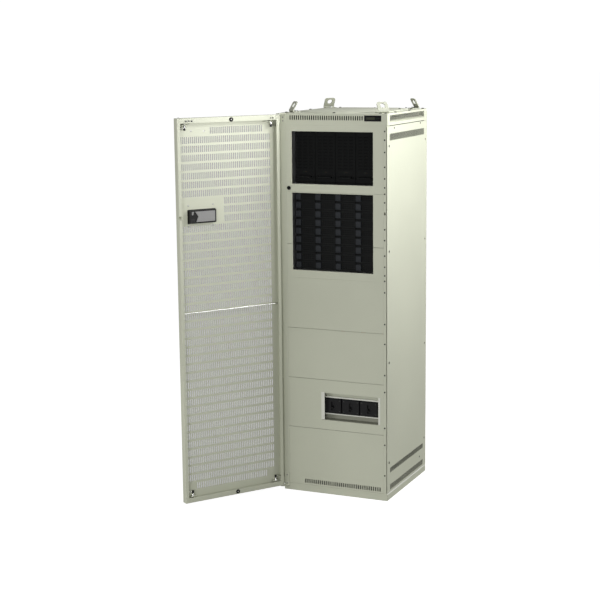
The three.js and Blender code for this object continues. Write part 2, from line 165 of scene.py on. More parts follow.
# ------------------------------------------------------------------ mesh container
class Mesh:
    def __init__(self):
        self.v, self.f, self.m = [], [], []

    def add(self, verts, faces, mat=0, fn=None):
        n = len(self.v)
        self.v += [fn(p) if fn else p for p in verts]
        self.f += [tuple(n + i for i in q) for q in faces]
        self.m += [mat] * len(faces)
        return self

    def box(self, x0, x1, y0, y1, z0, z1, c=0.5, mat=0, fn=None):
        """A box with every edge chamfered by c."""
        c = min(c, (x1 - x0) * 0.4, (y1 - y0) * 0.4, (z1 - z0) * 0.4)
        X, Y, Z, V, ix = (x0, x1), (y0, y1), (z0, z1), [], {}
        for i in (0, 1):
            for j in (0, 1):
                for k in (0, 1):
                    sx, sy, sz = (1 - 2 * i) * c, (1 - 2 * j) * c, (1 - 2 * k) * c
                    ix[i, j, k, 0] = len(V); V.append((X[i], Y[j] + sy, Z[k] + sz))
                    ix[i, j, k, 1] = len(V); V.append((X[i] + sx, Y[j], Z[k] + sz))
                    ix[i, j, k, 2] = len(V); V.append((X[i] + sx, Y[j] + sy, Z[k]))
        F = []
        for a in (0, 1):
            F.append([ix[a, 0, 0, 0], ix[a, 1, 0, 0], ix[a, 1, 1, 0], ix[a, 0, 1, 0]])
            F.append([ix[0, a, 0, 1], ix[1, a, 0, 1], ix[1, a, 1, 1], ix[0, a, 1, 1]])
            F.append([ix[0, 0, a, 2], ix[1, 0, a, 2], ix[1, 1, a, 2], ix[0, 1, a, 2]])
            for b in (0, 1):
                F.append([ix[a, b, 0, 0], ix[a, b, 1, 0], ix[a, b, 1, 1], ix[a, b, 0, 1]])
                F.append([ix[a, 0, b, 0], ix[a, 1, b, 0], ix[a, 1, b, 2], ix[a, 0, b, 2]])
                F.append([ix[0, a, b, 1], ix[1, a, b, 1], ix[1, a, b, 2], ix[0, a, b, 2]])
                for k in (0, 1):
                    F.append([ix[a, b, k, 0], ix[a, b, k, 1], ix[a, b, k, 2]])
        return self.add(V, F, mat, fn)

    def slab(self, outer, t0, t1, plane="xz", holes=(), c=0.0, ch=0.0, mat=0, fn=None):
        """An outline with holes, extruded from t0 to t1. c chamfers the outer rim, ch the rims of the holes."""
        at = PLANES[plane]
        holes = [list(h) for h in holes]
        if area(outer) < 0:
            outer = outer[::-1]
        holes = [h if area(h) > 0 else h[::-1] for h in holes]
        cap_loops = [offset(outer, c)] + [offset(h, -ch) for h in holes]
        co, tris, back = triangulate(cap_loops)
        V, F = [], []
        n = len(co)
        V += [at(a, b, t1) for a, b in co] + [at(a, b, t0) for a, b in co]
        F += [t for t in tris] + [(t[0] + n, t[2] + n, t[1] + n) for t in tris]
        start = 0
        for k, l in enumerate([outer] + holes):
            bev = c if k == 0 else ch
            m = len(l)
            hi = [back[start + i] for i in range(m)]
            lo = [back[start + i] + n for i in range(m)]
            rings = [hi]
            if bev > 0:
                r1 = list(range(len(V), len(V) + m)); V += [at(a, b, t1 - bev) for a, b in l]
                r2 = list(range(len(V), len(V) + m)); V += [at(a, b, t0 + bev) for a, b in l]
                rings += [r1, r2]
            rings.append(lo)
            for r, s in zip(rings, rings[1:]):
                for i in range(m):
                    j = (i + 1) % m
                    F.append((r[i], r[j], s[j], s[i]) if k else (r[j], r[i], s[i], s[j]))
            start += m
        return self.add(V, F, mat, fn)

    def lathe(self, prof, o=(0, 0, 0), axis="z", seg=24, mat=0, fn=None):
        """prof is (radius, height) from one end to the other, starting and ending on the axis."""
        to = {
            "z": lambda u, v, h: (o[0] + u, o[1] + v, o[2] + h),
            "y": lambda u, v, h: (o[0] + u, o[1] + h, o[2] + v),
            "-y": lambda u, v, h: (o[0] + u, o[1] - h, o[2] + v),
            "x": lambda u, v, h: (o[0] + h, o[1] + u, o[2] + v),
            "-x": lambda u, v, h: (o[0] - h, o[1] + u, o[2] + v),
            "-z": lambda u, v, h: (o[0] + u, o[1] + v, o[2] - h),
        }[axis]
        V, F, rings = [], [], []
        for r, h in prof:
            if r < 1e-6:
                rings.append([len(V)]); V.append(to(0, 0, h))
            else:
                rings.append(list(range(len(V), len(V) + seg)))
                V += [to(r * math.cos(2 * math.pi * i / seg), r * math.sin(2 * math.pi * i / seg), h) for i in range(seg)]
        for a, b in zip(rings, rings[1:]):
            for i in range(seg):
                j = (i + 1) % seg
                if len(a) == 1 and len(b) == 1:
                    continue
                if len(a) == 1:
                    F.append((a[0], b[i], b[j]))
                elif len(b) == 1:
                    F.append((a[i], b[0], a[j]))
                else:
                    F.append((a[i], b[i], b[j], a[j]))
        return self.add(V, F, mat, fn)

    def ring(self, prof, o=(0, 0, 0), axis="z", seg=24, mat=0, fn=None):
        """A closed profile of (radius, height) points swept round the axis."""
        n0, m0 = len(prof), len(self.v)
        to = {"z": lambda u, v, h: (o[0] + u, o[1] + v, o[2] + h), "y": lambda u, v, h: (o[0] + u, o[1] + h, o[2] + v), "x": lambda u, v, h: (o[0] + h, o[1] + u, o[2] + v)}[axis]
        V = [to(r * math.cos(2 * math.pi * i / seg), r * math.sin(2 * math.pi * i / seg), h) for i in range(seg) for r, h in prof]
        F = [(i * n0 + k, i * n0 + (k + 1) % n0, ((i + 1) % seg) * n0 + (k + 1) % n0, ((i + 1) % seg) * n0 + k) for i in range(seg) for k in range(n0)]
        return self.add(V, F, mat, fn)

    def tube(self, pts, r, seg=8, mat=0, fn=None):
        pts = [Vector(p) for p in pts]
        V, F, rings = [], [], []
        t = (pts[1] - pts[0]).normalized()
        u = t.orthogonal().normalized()
        for i, p in enumerate(pts):
            a = pts[max(0, i - 1)]
            b = pts[min(len(pts) - 1, i + 1)]
            t = (b - a).normalized()
            u = (u - t * u.dot(t)).normalized()
            w = t.cross(u)
            rings.append(list(range(len(V), len(V) + seg)))
            V += [tuple(p + r * (math.cos(2 * math.pi * k / seg) * u + math.sin(2 * math.pi * k / seg) * w)) for k in range(seg)]
        for a, b in zip(rings, rings[1:]):
            F += [(a[i], b[i], b[(i + 1) % seg], a[(i + 1) % seg]) for i in range(seg)]
        F.append(tuple(rings[0])); F.append(tuple(reversed(rings[-1])))
        return self.add(V, F, mat, fn)

    def helix(self, o, r, z0, z1, turns, wire, axis="z", mat=0, fn=None, per=10):
        n = int(turns * per)
        pts = []
        for i in range(n + 1):
            t = i / n
            a = 2 * math.pi * turns * t
            pts.append((o[0] + r * math.cos(a), o[1] + r * math.sin(a), z0 + (z1 - z0) * t))
        return self.tube(pts, wire, 6, mat, fn)


def swung(p):
    """A point of the closed door, in millimetres, carried to where it stands at rest."""
    dx, dy = p[0] - HX, p[1] - HY
    c, s = math.cos(OPEN), math.sin(OPEN)
    return (HX + dx * c + dy * s, HY - dx * s + dy * c, p[2])


def piece(name, body, mesh, mats, replaces=(), door=False, angle=32.0):
    me = bpy.data.meshes.new(name)
    pts = [swung(p) for p in mesh.v] if door else mesh.v
    me.from_pydata([(p[0] * MM, p[1] * MM, p[2] * MM) for p in pts], [], mesh.f)
    me.polygons.foreach_set("material_index", mesh.m)
    for m in mats:
        me.materials.append(m)
    bm = bmesh.new()
    bm.from_mesh(me)
    bmesh.ops.recalc_face_normals(bm, faces=bm.faces)
    bm.to_mesh(me)
    bm.free()
    me.polygons.foreach_set("use_smooth", [True] * len(me.polygons))
    me.set_sharp_from_angle(angle=math.radians(angle))
    me.update()
    ob = bpy.data.objects.new(name, me)
    bpy.context.scene.collection.objects.link(ob)
    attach(ob, body)
    if replaces:
        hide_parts(*replaces)
    return ob


# ------------------------------------------------------------------ materials
def new_material(name):
    m = bpy.data.materials.new(name)
    m.use_nodes = True
    nt = m.node_tree
    b = nt.nodes["Principled BSDF"]
    return m, nt, b


def coords(nt):
    t = nt.nodes.new("ShaderNodeTexCoord")
    return t.outputs["Object"]


def noise(nt, co, scale, detail=3.0, rough=0.5, stretch=None):
    if stretch:
        mp = nt.nodes.new("ShaderNodeMapping")
        mp.inputs["Scale"].default_value = stretch
        nt.links.new(co, mp.inputs["Vector"])
        co = mp.outputs["Vector"]
    n = nt.nodes.new("ShaderNodeTexNoise")
    n.inputs["Scale"].default_value = scale
    n.inputs["Detail"].default_value = detail
    n.inputs["Roughness"].default_value = rough
    nt.links.new(co, n.inputs["Vector"])
    return n.outputs["Fac"]


def ramp(nt, fac, stops):
    r = nt.nodes.new("ShaderNodeValToRGB")
    els = r.color_ramp.elements
    while len(els) < len(stops):
        els.new(0.5)
    for e, (p, c) in zip(els, stops):
        e.position = p
        e.color = (c[0], c[1], c[2], 1)
    nt.links.new(fac, r.inputs["Fac"])
    return r.outputs["Color"]


def remap(nt, fac, a0, a1, b0, b1):
    r = nt.nodes.new("ShaderNodeMapRange")
    for k, v in zip(("From Min", "From Max", "To Min", "To Max"), (a0, a1, b0, b1)):
        r.inputs[k].default_value = v
    nt.links.new(fac, r.inputs["Value"])
    return r.outputs["Result"]


def bump(nt, height, strength, distance, b, under=None):
    n = nt.nodes.new("ShaderNodeBump")
    n.inputs["Strength"].default_value = strength
    n.inputs["Distance"].default_value = distance
    nt.links.new(height, n.inputs["Height"])
    if under is not None:
        nt.links.new(under, n.inputs["Normal"])
    nt.links.new(n.outputs["Normal"], b.inputs["Normal"])
    return n.outputs["Normal"]


def scaled(c, k):
    return tuple(min(1.0, x * k) for x in c)


def coated(name, rgb, rough=(0.4, 0.52), spec=0.4, tone=0.03, grain=900.0, lift=0.00008, cloud=2.5, metallic=0.0):
    """Powder coat or moulded plastic: cloudy tone, fine speckle, orange-peel bump."""
    m, nt, b = new_material(name)
    co = coords(nt)
    big = noise(nt, co, cloud, 4.0)
    fine = noise(nt, co, grain * 0.5, 2.0)
    col = ramp(nt, big, [(0.3, scaled(rgb, 1 - tone)), (0.7, scaled(rgb, 1 + tone))])
    mix = nt.nodes.new("ShaderNodeMix")
    mix.data_type = "RGBA"
    mix.blend_type = "MULTIPLY"
    mix.inputs["Factor"].default_value = 1.0
    nt.links.new(col, mix.inputs["A"])
    sp = ramp(nt, fine, [(0.32, (1 - tone * 1.6,) * 3), (0.62, (1.0,) * 3)])
    nt.links.new(sp, mix.inputs["B"])
    nt.links.new(mix.outputs["Result"], b.inputs["Base Color"])
    nt.links.new(remap(nt, big, 0.25, 0.75, rough[0], rough[1]), b.inputs["Roughness"])
    bump(nt, noise(nt, co, grain, 2.0), 0.35, lift, b)
    b.inputs["Specular IOR Level"].default_value = spec
    b.inputs["Metallic"].default_value = metallic
    return m


def metal(name, rgb, rough=(0.25, 0.4), brushed=None, spangle=0.0, metallic=1.0):
    m, nt, b = new_material(name)
    co = coords(nt)
    if brushed:
        lines = noise(nt, co, 1.0, 3.0, 0.6, brushed)
    else:
        lines = noise(nt, co, 350.0, 3.0)
    big = noise(nt, co, 12.0, 3.0)
    col = ramp(nt, lines, [(0.3, scaled(rgb, 0.86)), (0.7, scaled(rgb, 1.08))])
    if spangle:
        vo = nt.nodes.new("ShaderNodeTexVoronoi")
        vo.inputs["Scale"].default_value = 180.0
        nt.links.new(co, vo.inputs["Vector"])
        mix = nt.nodes.new("ShaderNodeMix")
        mix.data_type = "RGBA"
        mix.blend_type = "MULTIPLY"
        mix.inputs["Factor"].default_value = 1.0
        nt.links.new(col, mix.inputs["A"])
        nt.links.new(ramp(nt, vo.outputs["Color"], [(0.2, (1 - spangle,) * 3), (0.8, (1, 1, 1))]), mix.inputs["B"])
        col = mix.outputs["Result"]
    nt.links.new(col, b.inputs["Base Color"])
    nt.links.new(remap(nt, big, 0.3, 0.7, rough[0], rough[1]), b.inputs["Roughness"])
    bump(nt, lines, 0.25, 0.00003, b)
    b.inputs["Metallic"].default_value = metallic
    return m


PAINT_RGB = (0.520, 0.535, 0.430)
M_PAINT = coated("powder_coat_beige", PAINT_RGB)
# beige darkened by 8% for inner and recessed parts: painted shade
M_PAINT_SHADED = coated("powder_coat_beige_painted_shade", scaled(PAINT_RGB, 0.92), tone=0.04)
M_MAT = coated("filter_mat", (0.022, 0.022, 0.018), (0.75, 0.9), spec=0.1, tone=0.2, grain=500.0, lift=0.0003)
# dark olive for the trough under the breakers: painted shade
M_TROUGH_SHADE = coated("trough_olive_painted_shade", (0.27, 0.275, 0.22), tone=0.05)
M_BAR = metal("bright_bar", (0.93, 0.93, 0.90), (0.28, 0.4))
M_PFACE = coated("power_face_black", (0.0047, 0.0052, 0.0052), (0.6, 0.72), spec=0.1, tone=0.12, grain=1400.0)
# beige darkened to 70% for the lifting lugs: painted shade
M_LUG_SHADED = coated("lug_coat_painted_shade", scaled(PAINT_RGB, 0.70))
M_HEAD = coated("screw_head_dark", (0.026, 0.026, 0.024), (0.5, 0.62), spec=0.2, tone=0.15, grain=1500.0)
# beige lightened for the trims, rails and plinth edges: painted highlight
M_PAINT_HIGHLIGHT = coated("paint_painted_highlight", (0.66, 0.665, 0.60), tone=0.03)
M_ZINC = metal("zinc_plate", (0.56, 0.57, 0.56), (0.3, 0.48), spangle=0.12)
M_SCREW = metal("screw_steel", (0.30, 0.30, 0.29), (0.3, 0.45))
M_CHROME = metal("chrome_plate", (0.82, 0.82, 0.81), (0.08, 0.18))
M_STUD = metal("stud_steel", (0.46, 0.46, 0.44), (0.35, 0.5))
M_DARKPIN = metal("blackened_steel", (0.05, 0.05, 0.05), (0.35, 0.5))
M_BLACK = coated("module_black_coat", (0.0062, 0.0068, 0.0068), (0.55, 0.68), spec=0.14, tone=0.14, grain=1400.0)
M_BLACK2 = coated("module_black_deep", (0.0036, 0.0038, 0.004), (0.6, 0.75), spec=0.08, tone=0.14, grain=1400.0)
M_SLATE = coated("module_handle_slate", (0.0165, 0.019, 0.023), (0.45, 0.58), spec=0.22, tone=0.12, grain=1500.0)
M_MOULD = coated("breaker_mould", (0.0062, 0.0062, 0.0070), (0.42, 0.54), spec=0.24, tone=0.1, grain=1200.0)
M_TOGGLE = coated("toggle_mould", (0.006, 0.006, 0.0062), (0.35, 0.45), spec=0.35, tone=0.1, grain=1200.0)
M_DISPLAY = coated("display_window", (0.004, 0.0045, 0.005), (0.12, 0.2), spec=0.35, tone=0.1, grain=300.0, lift=0.00001)
M_RUBBER = coated("rubber", (0.010, 0.010, 0.010), (0.7, 0.85), spec=0.25, tone=0.15, grain=800.0, lift=0.0002)
M_LOCKGREY = coated("lock_plate_grey", (0.25, 0.25, 0.245), (0.38, 0.5), spec=0.4, tone=0.05, grain=900.0)
M_COPPER = metal("copper_bar", (0.62, 0.30, 0.17), (0.25, 0.4), brushed=(900.0, 900.0, 6.0))
M_LED = coated("lamp_lens_green", (0.008, 0.03, 0.01), (0.15, 0.25), spec=0.5, tone=0.1, grain=400.0)
M_AMBER = coated("lamp_lens_amber", (0.03, 0.018, 0.005), (0.15, 0.25), spec=0.5, tone=0.1, grain=400.0)


# ------------------------------------------------------------------ hardware
def screw(m, x, y, z, axis, r=4.0, h=1.6, mat=0, cross=True):
    """Pan-head screw with a cross recess. The head stands h proud of the point, along axis."""
    d = {"-y": (lambda a, b, t: (x + a, y - t, z + b)), "x": (lambda a, b, t: (x + t, y + a, z + b)), "-x": (lambda a, b, t: (x - t, y + a, z + b)),
         "z": (lambda a, b, t: (x + a, y + b, z + t)), "y": (lambda a, b, t: (x + a, y + t, z + b)), "-z": (lambda a, b, t: (x + a, y + b, z - t))}[axis]
    seg = 14
    arm, w, dep = r * 0.58, r * 0.17, h * 0.65
    turn = random.uniform(0, math.pi / 2)
    cr = [(w, w), (w, arm), (-w, arm), (-w, w), (-arm, w), (-arm, -w), (-w, -w), (-w, -arm), (w, -arm), (w, -w), (arm, -w), (arm, w)]
    cr = [(a * math.cos(turn) - b * math.sin(turn), a * math.sin(turn) + b * math.cos(turn)) for a, b in cr]
    top = circle(0, 0, r * 0.78, seg)
    co, tris, back = triangulate([top, cr])
    V = [d(a, b, h) for a, b in co]
    F = list(tris)
    n = len(V)
    mid = list(range(n, n + seg)); V += [d(a, b, h * 0.55) for a, b in circle(0, 0, r, seg)]
    low = list(range(len(V), len(V) + seg)); V += [d(a, b, -0.2) for a, b in circle(0, 0, r, seg)]
    bot = list(range(len(V), len(V) + 12)); V += [d(a, b, h - dep) for a, b in cr]
    for i in range(seg):
        j = (i + 1) % seg
        F.append((back[i], back[j], mid[j], mid[i]))
        F.append((mid[i], mid[j], low[j], low[i]))
    for i in range(12):
        j = (i + 1) % 12
        F.append((back[seg + i], back[seg + j], bot[j], bot[i]))
    F.append(tuple(bot))
    F.append(tuple(low))
    m.add(V, F, mat)


def hexbolt(m, x, y, z, r=6.5, h=4.0, washer=8.5, mat=0):
    """Hexagon-head bolt with a flat washer, standing on z."""
    m.lathe([(0, -0.1), (washer, -0.1), (washer, 1.1), (washer - 0.4, 1.5), (0, 1.5)], (x, y, z), "z", 24, mat)
    ring = [(r / math.cos(math.pi / 6) * math.cos(math.radians(60 * i + 15)), r / math.cos(math.pi / 6) * math.sin(math.radians(60 * i + 15))) for i in range(6)]
    m.slab([(x + a, y + b) for a, b in ring], z + 1.4, z + 1.4 + h, "xy", c=0.5, mat=mat)


# ------------------------------------------------------------------ roof
m = Mesh()
top_slots = row_of_slots(-241, 161, 1964, 1988, 12, 6.6)
m.slab(rect(-W / 2, W / 2, 1938.9, 1998), FRONT, FRONT + 2, "xz", top_slots + [rect(168.5, 260.5, 1960.5, 1990.5)], c=0.15, ch=0.0)
back_slots = row_of_slots(-240, 240, 1959, 1990, 12, 6.4)
m.slab(rect(-W / 2, W / 2, 1939, 1998), -FRONT - 2, -FRONT, "xz", back_slots, c=0.6)
side_slots = row_of_slots(-262, 252, 1954.5, 1991.5, 11, 9.2)
for x0, x1 in ((-W / 2, -W / 2 + 0.9), (W / 2 - 0.9, W / 2)):
    m.slab(rect(FRONT + 2, -FRONT - 2, 1940.5, 1998), x0, x1, "yz", side_slots, c=0.0)
def plateau(inset):
    px, py, c = W / 2 - 40 - inset, D / 2 - 40 - inset, 95 - inset * 0.35
    return [(-px, -py + c), (-px + c, -py), (px - c, -py), (px, -py + c), (px, py - c), (px - c, py), (-px + c, py), (-px, py - c)]
# deck with a rolled upper rim and the raised middle
ring_o = rrect(-W / 2, W / 2, FRONT, -FRONT, 1.2, 2)
m.slab(ring_o, 1996.8, 2000, "xy", c=1.2)
p0, p1, p2 = plateau(0), plateau(5), plateau(8)
V = [(a, b, 1999.5) for a, b in p0] + [(a, b, 2003.0) for a, b in p1] + [(a, b, 2004.7) for a, b in plateau(6.5)] + [(a, b, 2005) for a, b in p2]
F = []
for k in range(3):
    F += [(k * 8 + i, k * 8 + (i + 1) % 8, k * 8 + 8 + (i + 1) % 8, k * 8 + 8 + i) for i in range(8)]
F += [tuple(range(24, 32)), tuple(range(8))]
m.add(V, F)
piece("roof_shell", "cabinet", m, [M_PAINT], ["roof_cover"])
m = Mesh()
m.box(-258, 258, FRONT + 34, -FRONT - 30, 1946, 1992, 2.0)
piece("roof_duct", "cabinet", m, [M_BLACK2])

m = Mesh()
for x, y in ((250, -283), (276, -278), (198, 135), (191, 254), (-280, 60), (-180, 234), (-269, -275), (276, 278), (-276, 278), (-280, -120), (280, 60), (280, -150), (0, 285), (0, -285)):
    if abs(x) < W / 2 - 45 and abs(y) < D / 2 - 45:
        screw(m, x, y, 2005, "z", 6.0, 2.6)
    else:
        screw(m, x, y, 2000, "z", 7.0, 4.2)
piece("roof_screws", "cabinet", m, [M_HEAD])

# ------------------------------------------------------------------ lifting lugs
for nm, sx, sy in (("front_left", -1, -1), ("front_right", 1, -1), ("rear_left", -1, 1), ("rear_right", 1, 1)):
    ang = math.atan2(-sy, -sx)
    ox, oy = sx * (W / 2 - 34.5), sy * (D / 2 - 48)
    ca, sa = math.cos(ang), math.sin(ang)
    def place(p, ca=ca, sa=sa, ox=ox, oy=oy):          # p = (u towards the middle, v across, up)
        return (ox + p[0] * ca - p[1] * sa, oy + p[0] * sa + p[1] * ca, 2000.3 + p[2])
    m = Mesh()
    # foot and bend: profile in (u, up)
    prof = [(45, 0), (45, 4.4), (44.4, 5), (13.0, 5)]
    cx, cz, r_in, r_out = 13.0, 9.0, 4.0, 9.0
    a0, a1 = -90, -210
    inner = [(cx + r_in * math.cos(math.radians(a0 + (a1 - a0) * i / 8)), cz + r_in * math.sin(math.radians(a0 + (a1 - a0) * i / 8))) for i in range(9)]
    outer = [(cx + r_out * math.cos(math.radians(a1 - (a1 - a0) * i / 8)), cz + r_out * math.sin(math.radians(a1 - (a1 - a0) * i / 8))) for i in range(9)]
    pts = prof[:3] + inner + outer
    V = [place((a, -30, b)) for a, b in pts] + [place((a, 30, b)) for a, b in pts]
    n = len(pts)
    co, tris, back = triangulate([pts])
    inv = {o: i for i, o in enumerate(back)}
    F = [tuple(inv[i] for i in t) for t in tris] + [tuple(inv[i] + n for i in t) for t in tris]
    F += [(i, (i + 1) % n, (i + 1) % n + n, i + n) for i in range(n)]
    m.add(V, F)
    # leaning strap with a rounded head and the eye
    base_u = cx + (r_in + r_out) / 2 * math.cos(math.radians(a1))
    base_z = cz + (r_in + r_out) / 2 * math.sin(math.radians(a1))
    dir_u, dir_z = math.cos(math.radians(60)), math.sin(math.radians(60))
    L = (56.0 - base_z) / dir_z - 1.6
    head = [(-30, 0), (30, 0)] + [(30 - 12 + 12 * math.cos(math.radians(t)), L - 12 + 12 * math.sin(math.radians(t))) for t in range(0, 91, 15)] \
        + [(-30 + 12 + 12 * math.cos(math.radians(t)), L - 12 + 12 * math.sin(math.radians(t))) for t in range(90, 181, 15)]
    nu, nz = -dir_z, dir_u
    def lean(p, base_u=base_u, base_z=base_z):
        v, t, l = p       # across, thickness, along
        return place((base_u + l * dir_u + t * nu, v, base_z + l * dir_z + t * nz))
    m.slab(head, -2.5, 2.5, "xz", [circle(0, 27.0, 13, 32)], c=0.7, ch=0.7, fn=lean)
    hx, hy, _ = place((31, 0, 0))
    piece("lug_" + nm, "cabinet", m, [M_LUG_SHADED], ["lifting_lug_" + nm])
    m = Mesh()
    hexbolt(m, hx, hy, 2005.3, 6.5, 4.5, 9.5)
    piece("lug_bolt_" + nm, "cabinet", m, [M_ZINC])

# ------------------------------------------------------------------ side covers, rear cover
def cover(name, node, x0, x1):
    """Outer cover: a thin sheet with three vent bands, its upright edges folded in."""
    mm = Mesh()
    bands = row_of_slots(-262, 254, 1863.5, 1900, 11, 9.2) + row_of_slots(-255, 258, 140, 169, 11, 9.4) + row_of_slots(-255, 258, 47, 78, 11, 8.6)
    mm.slab(rect(FRONT + 0.8, -FRONT - 2.6, 39.6, 1936.8), x0, x1, "yz", bands, c=0.3)
    inn = (x0 - 11.0, x0 + 0.1) if x0 > 0 else (x1 - 0.1, x1 + 11.0)
    mm.box(inn[0], inn[1], FRONT + 16, FRONT + 17.1, 39.6, 1936.8, 0.3)
    mm.box(inn[0], inn[1], -FRONT - 3.7, -FRONT - 2.6, 39.6, 1936.8, 0.3)
    piece(name, "cabinet", mm, [M_PAINT], [node])
m = Mesh()
for sg in (1, -1):
    for z0, z1 in ((1857, 1905), (135, 174), (42, 83)):
        xs = sorted((sg * (W / 2 - 5.0), sg * (W / 2 - 10.0)))
        m.box(xs[0], xs[1], -272, 270, z0, z1, 1.0)
for z0, z1 in ((1862, 1905), (1366, 1456), (135, 174), (42, 83)):
    m.box(-262, 262, -FRONT - 12, -FRONT - 6, z0, z1, 1.0)
# dark gasket behind the seam between roof skirt and side covers
for sg in (1, -1):
    xs = sorted((sg * (W / 2 - 2.7), sg * (W / 2 - 3.7)))
    m.box(xs[0], xs[1], -256, 256, 1931, 1946, 0.2)
piece("vent_filter_mats", "cabinet", m, [M_MAT])
SIDE_IN = 1.3
cover("side_cover_right", "side_panel_right", W / 2 - SIDE_IN - 1.0, W / 2 - SIDE_IN)
cover("side_cover_left", "side_panel_left", -W / 2 + SIDE_IN, -W / 2 + SIDE_IN + 1.0)
for side, nm in ((1, "right"), (-1, "left")):
    sm = Mesh()
    for y, z in [(-270, 1838), (-270, 1306), (-270, 729), (-270, 199), (279, 1839), (279, 1303), (279, 729), (279, 194), (-197, 1925), (197, 1929), (202, 106)]:
        screw(sm, side * (W / 2 - SIDE_IN), y, z, "x" if side > 0 else "-x", 6.6 if y == -270 else 5.0, 1.1)
    piece("side_screws_" + nm, "cabinet", sm, [M_HEAD])

m = Mesh()
rear = []
for z0, z1 in ((1867, 1900), (1420, 1452), (1370, 1402), (140, 169), (47, 78)):
    rear += row_of_slots(-250, 250, z0, z1, 12, 6)
m.slab(rect(-W / 2, W / 2, 38.6, 1938), -FRONT - 2, -FRONT, "xz", rear, c=0.8)
piece("rear_cover", "cabinet", m, [M_PAINT], ["rear_panel"])
m = Mesh()
for x in (-275, 275):
    for z in (70, 420, 790, 1160, 1530, 1910):
        screw(m, x, 299.8, z, "y", 4.4, 0.2)
piece("rear_screws", "cabinet", m, [M_SCREW])

# ------------------------------------------------------------------ base tray
m = Mesh()
b = W / 2
m.box(-b, b, FRONT, FRONT + 3, 0, 38, 1.0)
m.box(-b, b, -FRONT - 3, -FRONT, 0, 38, 1.0)
for sg in (1, -1):
    wall = [(sg * u, v) for u, v in ((b - 6.0, 0.0), (b - 0.5, 0.0), (b, 0.5), (b, 31.5), (b - 5.0, 37.0), (b - 6.0, 37.0))]
    m.slab(wall, FRONT + 3, -FRONT - 3, "xz", c=0.0)
m.slab(rect(-b + 6, b - 6, FRONT + 3, -FRONT - 3), 1.0, 4, "xy", [rrect(-150, 150, 150, 240, 8)], c=0.0)
m.box(-b + 3, b - 3, FRONT + 3, FRONT + 25, 35.5, 38, 0.3)
m.box(-b + 3, b - 3, -FRONT - 25, -FRONT - 3, 35.5, 38, 0.3)
m.box(-b + 6, -b + 25, FRONT + 25, -FRONT - 25, 35.5, 38, 0.3)
m.box(b - 25, b - 6, FRONT + 25, -FRONT - 25, 35.5, 38, 0.3)
piece("base_tray", "cabinet", m, [M_PAINT], ["base_plinth"])
# strips on the top chamfers of the plinth, coloured a lighter beige: painted highlight
m = Mesh()
for sg in (1, -1):
    edge = [(sg * u, v) for u, v in ((b, 31.6), (b, 32.6), (b - 5.0, 38.0), (b - 6.0, 38.0), (b - 6.0, 37.1), (b - 5.0, 37.1))]
    m.slab(edge, FRONT + 3, -FRONT - 3, "xz", c=0.0)
piece("plinth_edges", "cabinet", m, [M_PAINT_HIGHLIGHT])
m = Mesh()
for x in (-240, 240):
    for y in (-240, 240):
        m.lathe([(0, -0.0), (16, 0.0), (18, 0.6), (18, 1.6), (0, 1.6)], (x, y, 0.0), "z", 28)
        hexbolt(m, x, y, 4.0, 8, 5, 13)
piece("base_feet", "cabinet", m, [M_ZINC])

# ------------------------------------------------------------------ fascia
QX0, QX1 = PX0 - 0.5, PX1 + 0.5
def fascia(name, nodes, z0, z1, holes=(), slots=()):
    mm = Mesh()
    mm.slab(rect(QX0, QX1, z0, z1), FRONT, FRONT + 2, "xz", list(holes) + list(slots), c=0.25)
    # returned edges behind the face
    mm.box(QX0, QX0 + 1.5, FRONT + 1.9, FRONT + 12, z0, z1, 0.2)
    mm.box(QX1 - 1.5, QX1, FRONT + 1.9, FRONT + 12, z0, z1, 0.2)
    piece(name, "cabinet", mm, [M_PAINT], nodes)

fascia("fascia_upper_bay", ["upper_bay_bezel"], SEAMS[6] + 0.3, 1938.8, [rrect(BAY_X0, BAY_X1, *BAY1, 0.8, 2), circle(-248, 1615.5, 10.6, 32)])
# the middle and lower bezels share one opening, so each is a plate with a notch
def notched(name, node, z0, z1, nz0, nz1):
    mm = Mesh()
    if nz1 >= z1:
        out = [(QX0, z0), (QX1, z0), (QX1, z1), (BAY_X1, z1), (BAY_X1, nz0), (BAY_X0, nz0), (BAY_X0, z1), (QX0, z1)]
    else:
        out = [(QX0, z0), (BAY_X0, z0), (BAY_X0, nz1), (BAY_X1, nz1), (BAY_X1, z0), (QX1, z0), (QX1, z1), (QX0, z1)]
    mm.slab(out, FRONT, FRONT + 2, "xz", c=0.25)
    mm.box(QX0, QX0 + 1.5, FRONT + 1.9, FRONT + 12, z0, z1, 0.2)
    mm.box(QX1 - 1.5, QX1, FRONT + 1.9, FRONT + 12, z0, z1, 0.2)
    piece(name, "cabinet", mm, [M_PAINT], [node])
notched("fascia_middle_bay", "middle_bay_bezel", SEAMS[5] + 0.8, SEAMS[6] - 0.3, SEAMS[5] - 5, BAY2[1])
notched("fascia_lower_bay", "lower_bay_bezel", SEAMS[4] + 0.15, SEAMS[5] - 0.8, BAY2[0], SEAMS[5] + 5)
fascia("fascia_blank_upper", ["blank_panel_upper"], SEAMS[3] + 0.7, SEAMS[4] - 0.15)
fascia("fascia_blank_lower", ["blank_panel_lower"], SEAMS[2] + 0.7, SEAMS[3] - 0.7)
fascia("fascia_breakers", ["breaker_panel"], SEAMS[1] + 0.7, SEAMS[2] - 0.7, [rrect(BRK[0], BRK[1], BRK[2], BRK[3], 1.5, 2)])
fascia("fascia_base_vents", ["base_vent_panel"], SEAMS[0] + 0.6, SEAMS[1] - 0.7, slots=row_of_slots(-173, 255, 46, 70, 12, 6.4))

# corner strips
m = Mesh()
sd = W / 2 - 2.4
m.slab(rect(-sd, -262.4, 38.4, 1938.6), FRONT, FRONT + 2, "xz", c=0.25)
m.box(-sd, -sd + 2, FRONT + 2, FRONT + 38, 38.4, 1938, 0.3)
m.box(-264.5, -262.5, FRONT + 2, FRONT + 20, 38.4, 1938, 0.3)
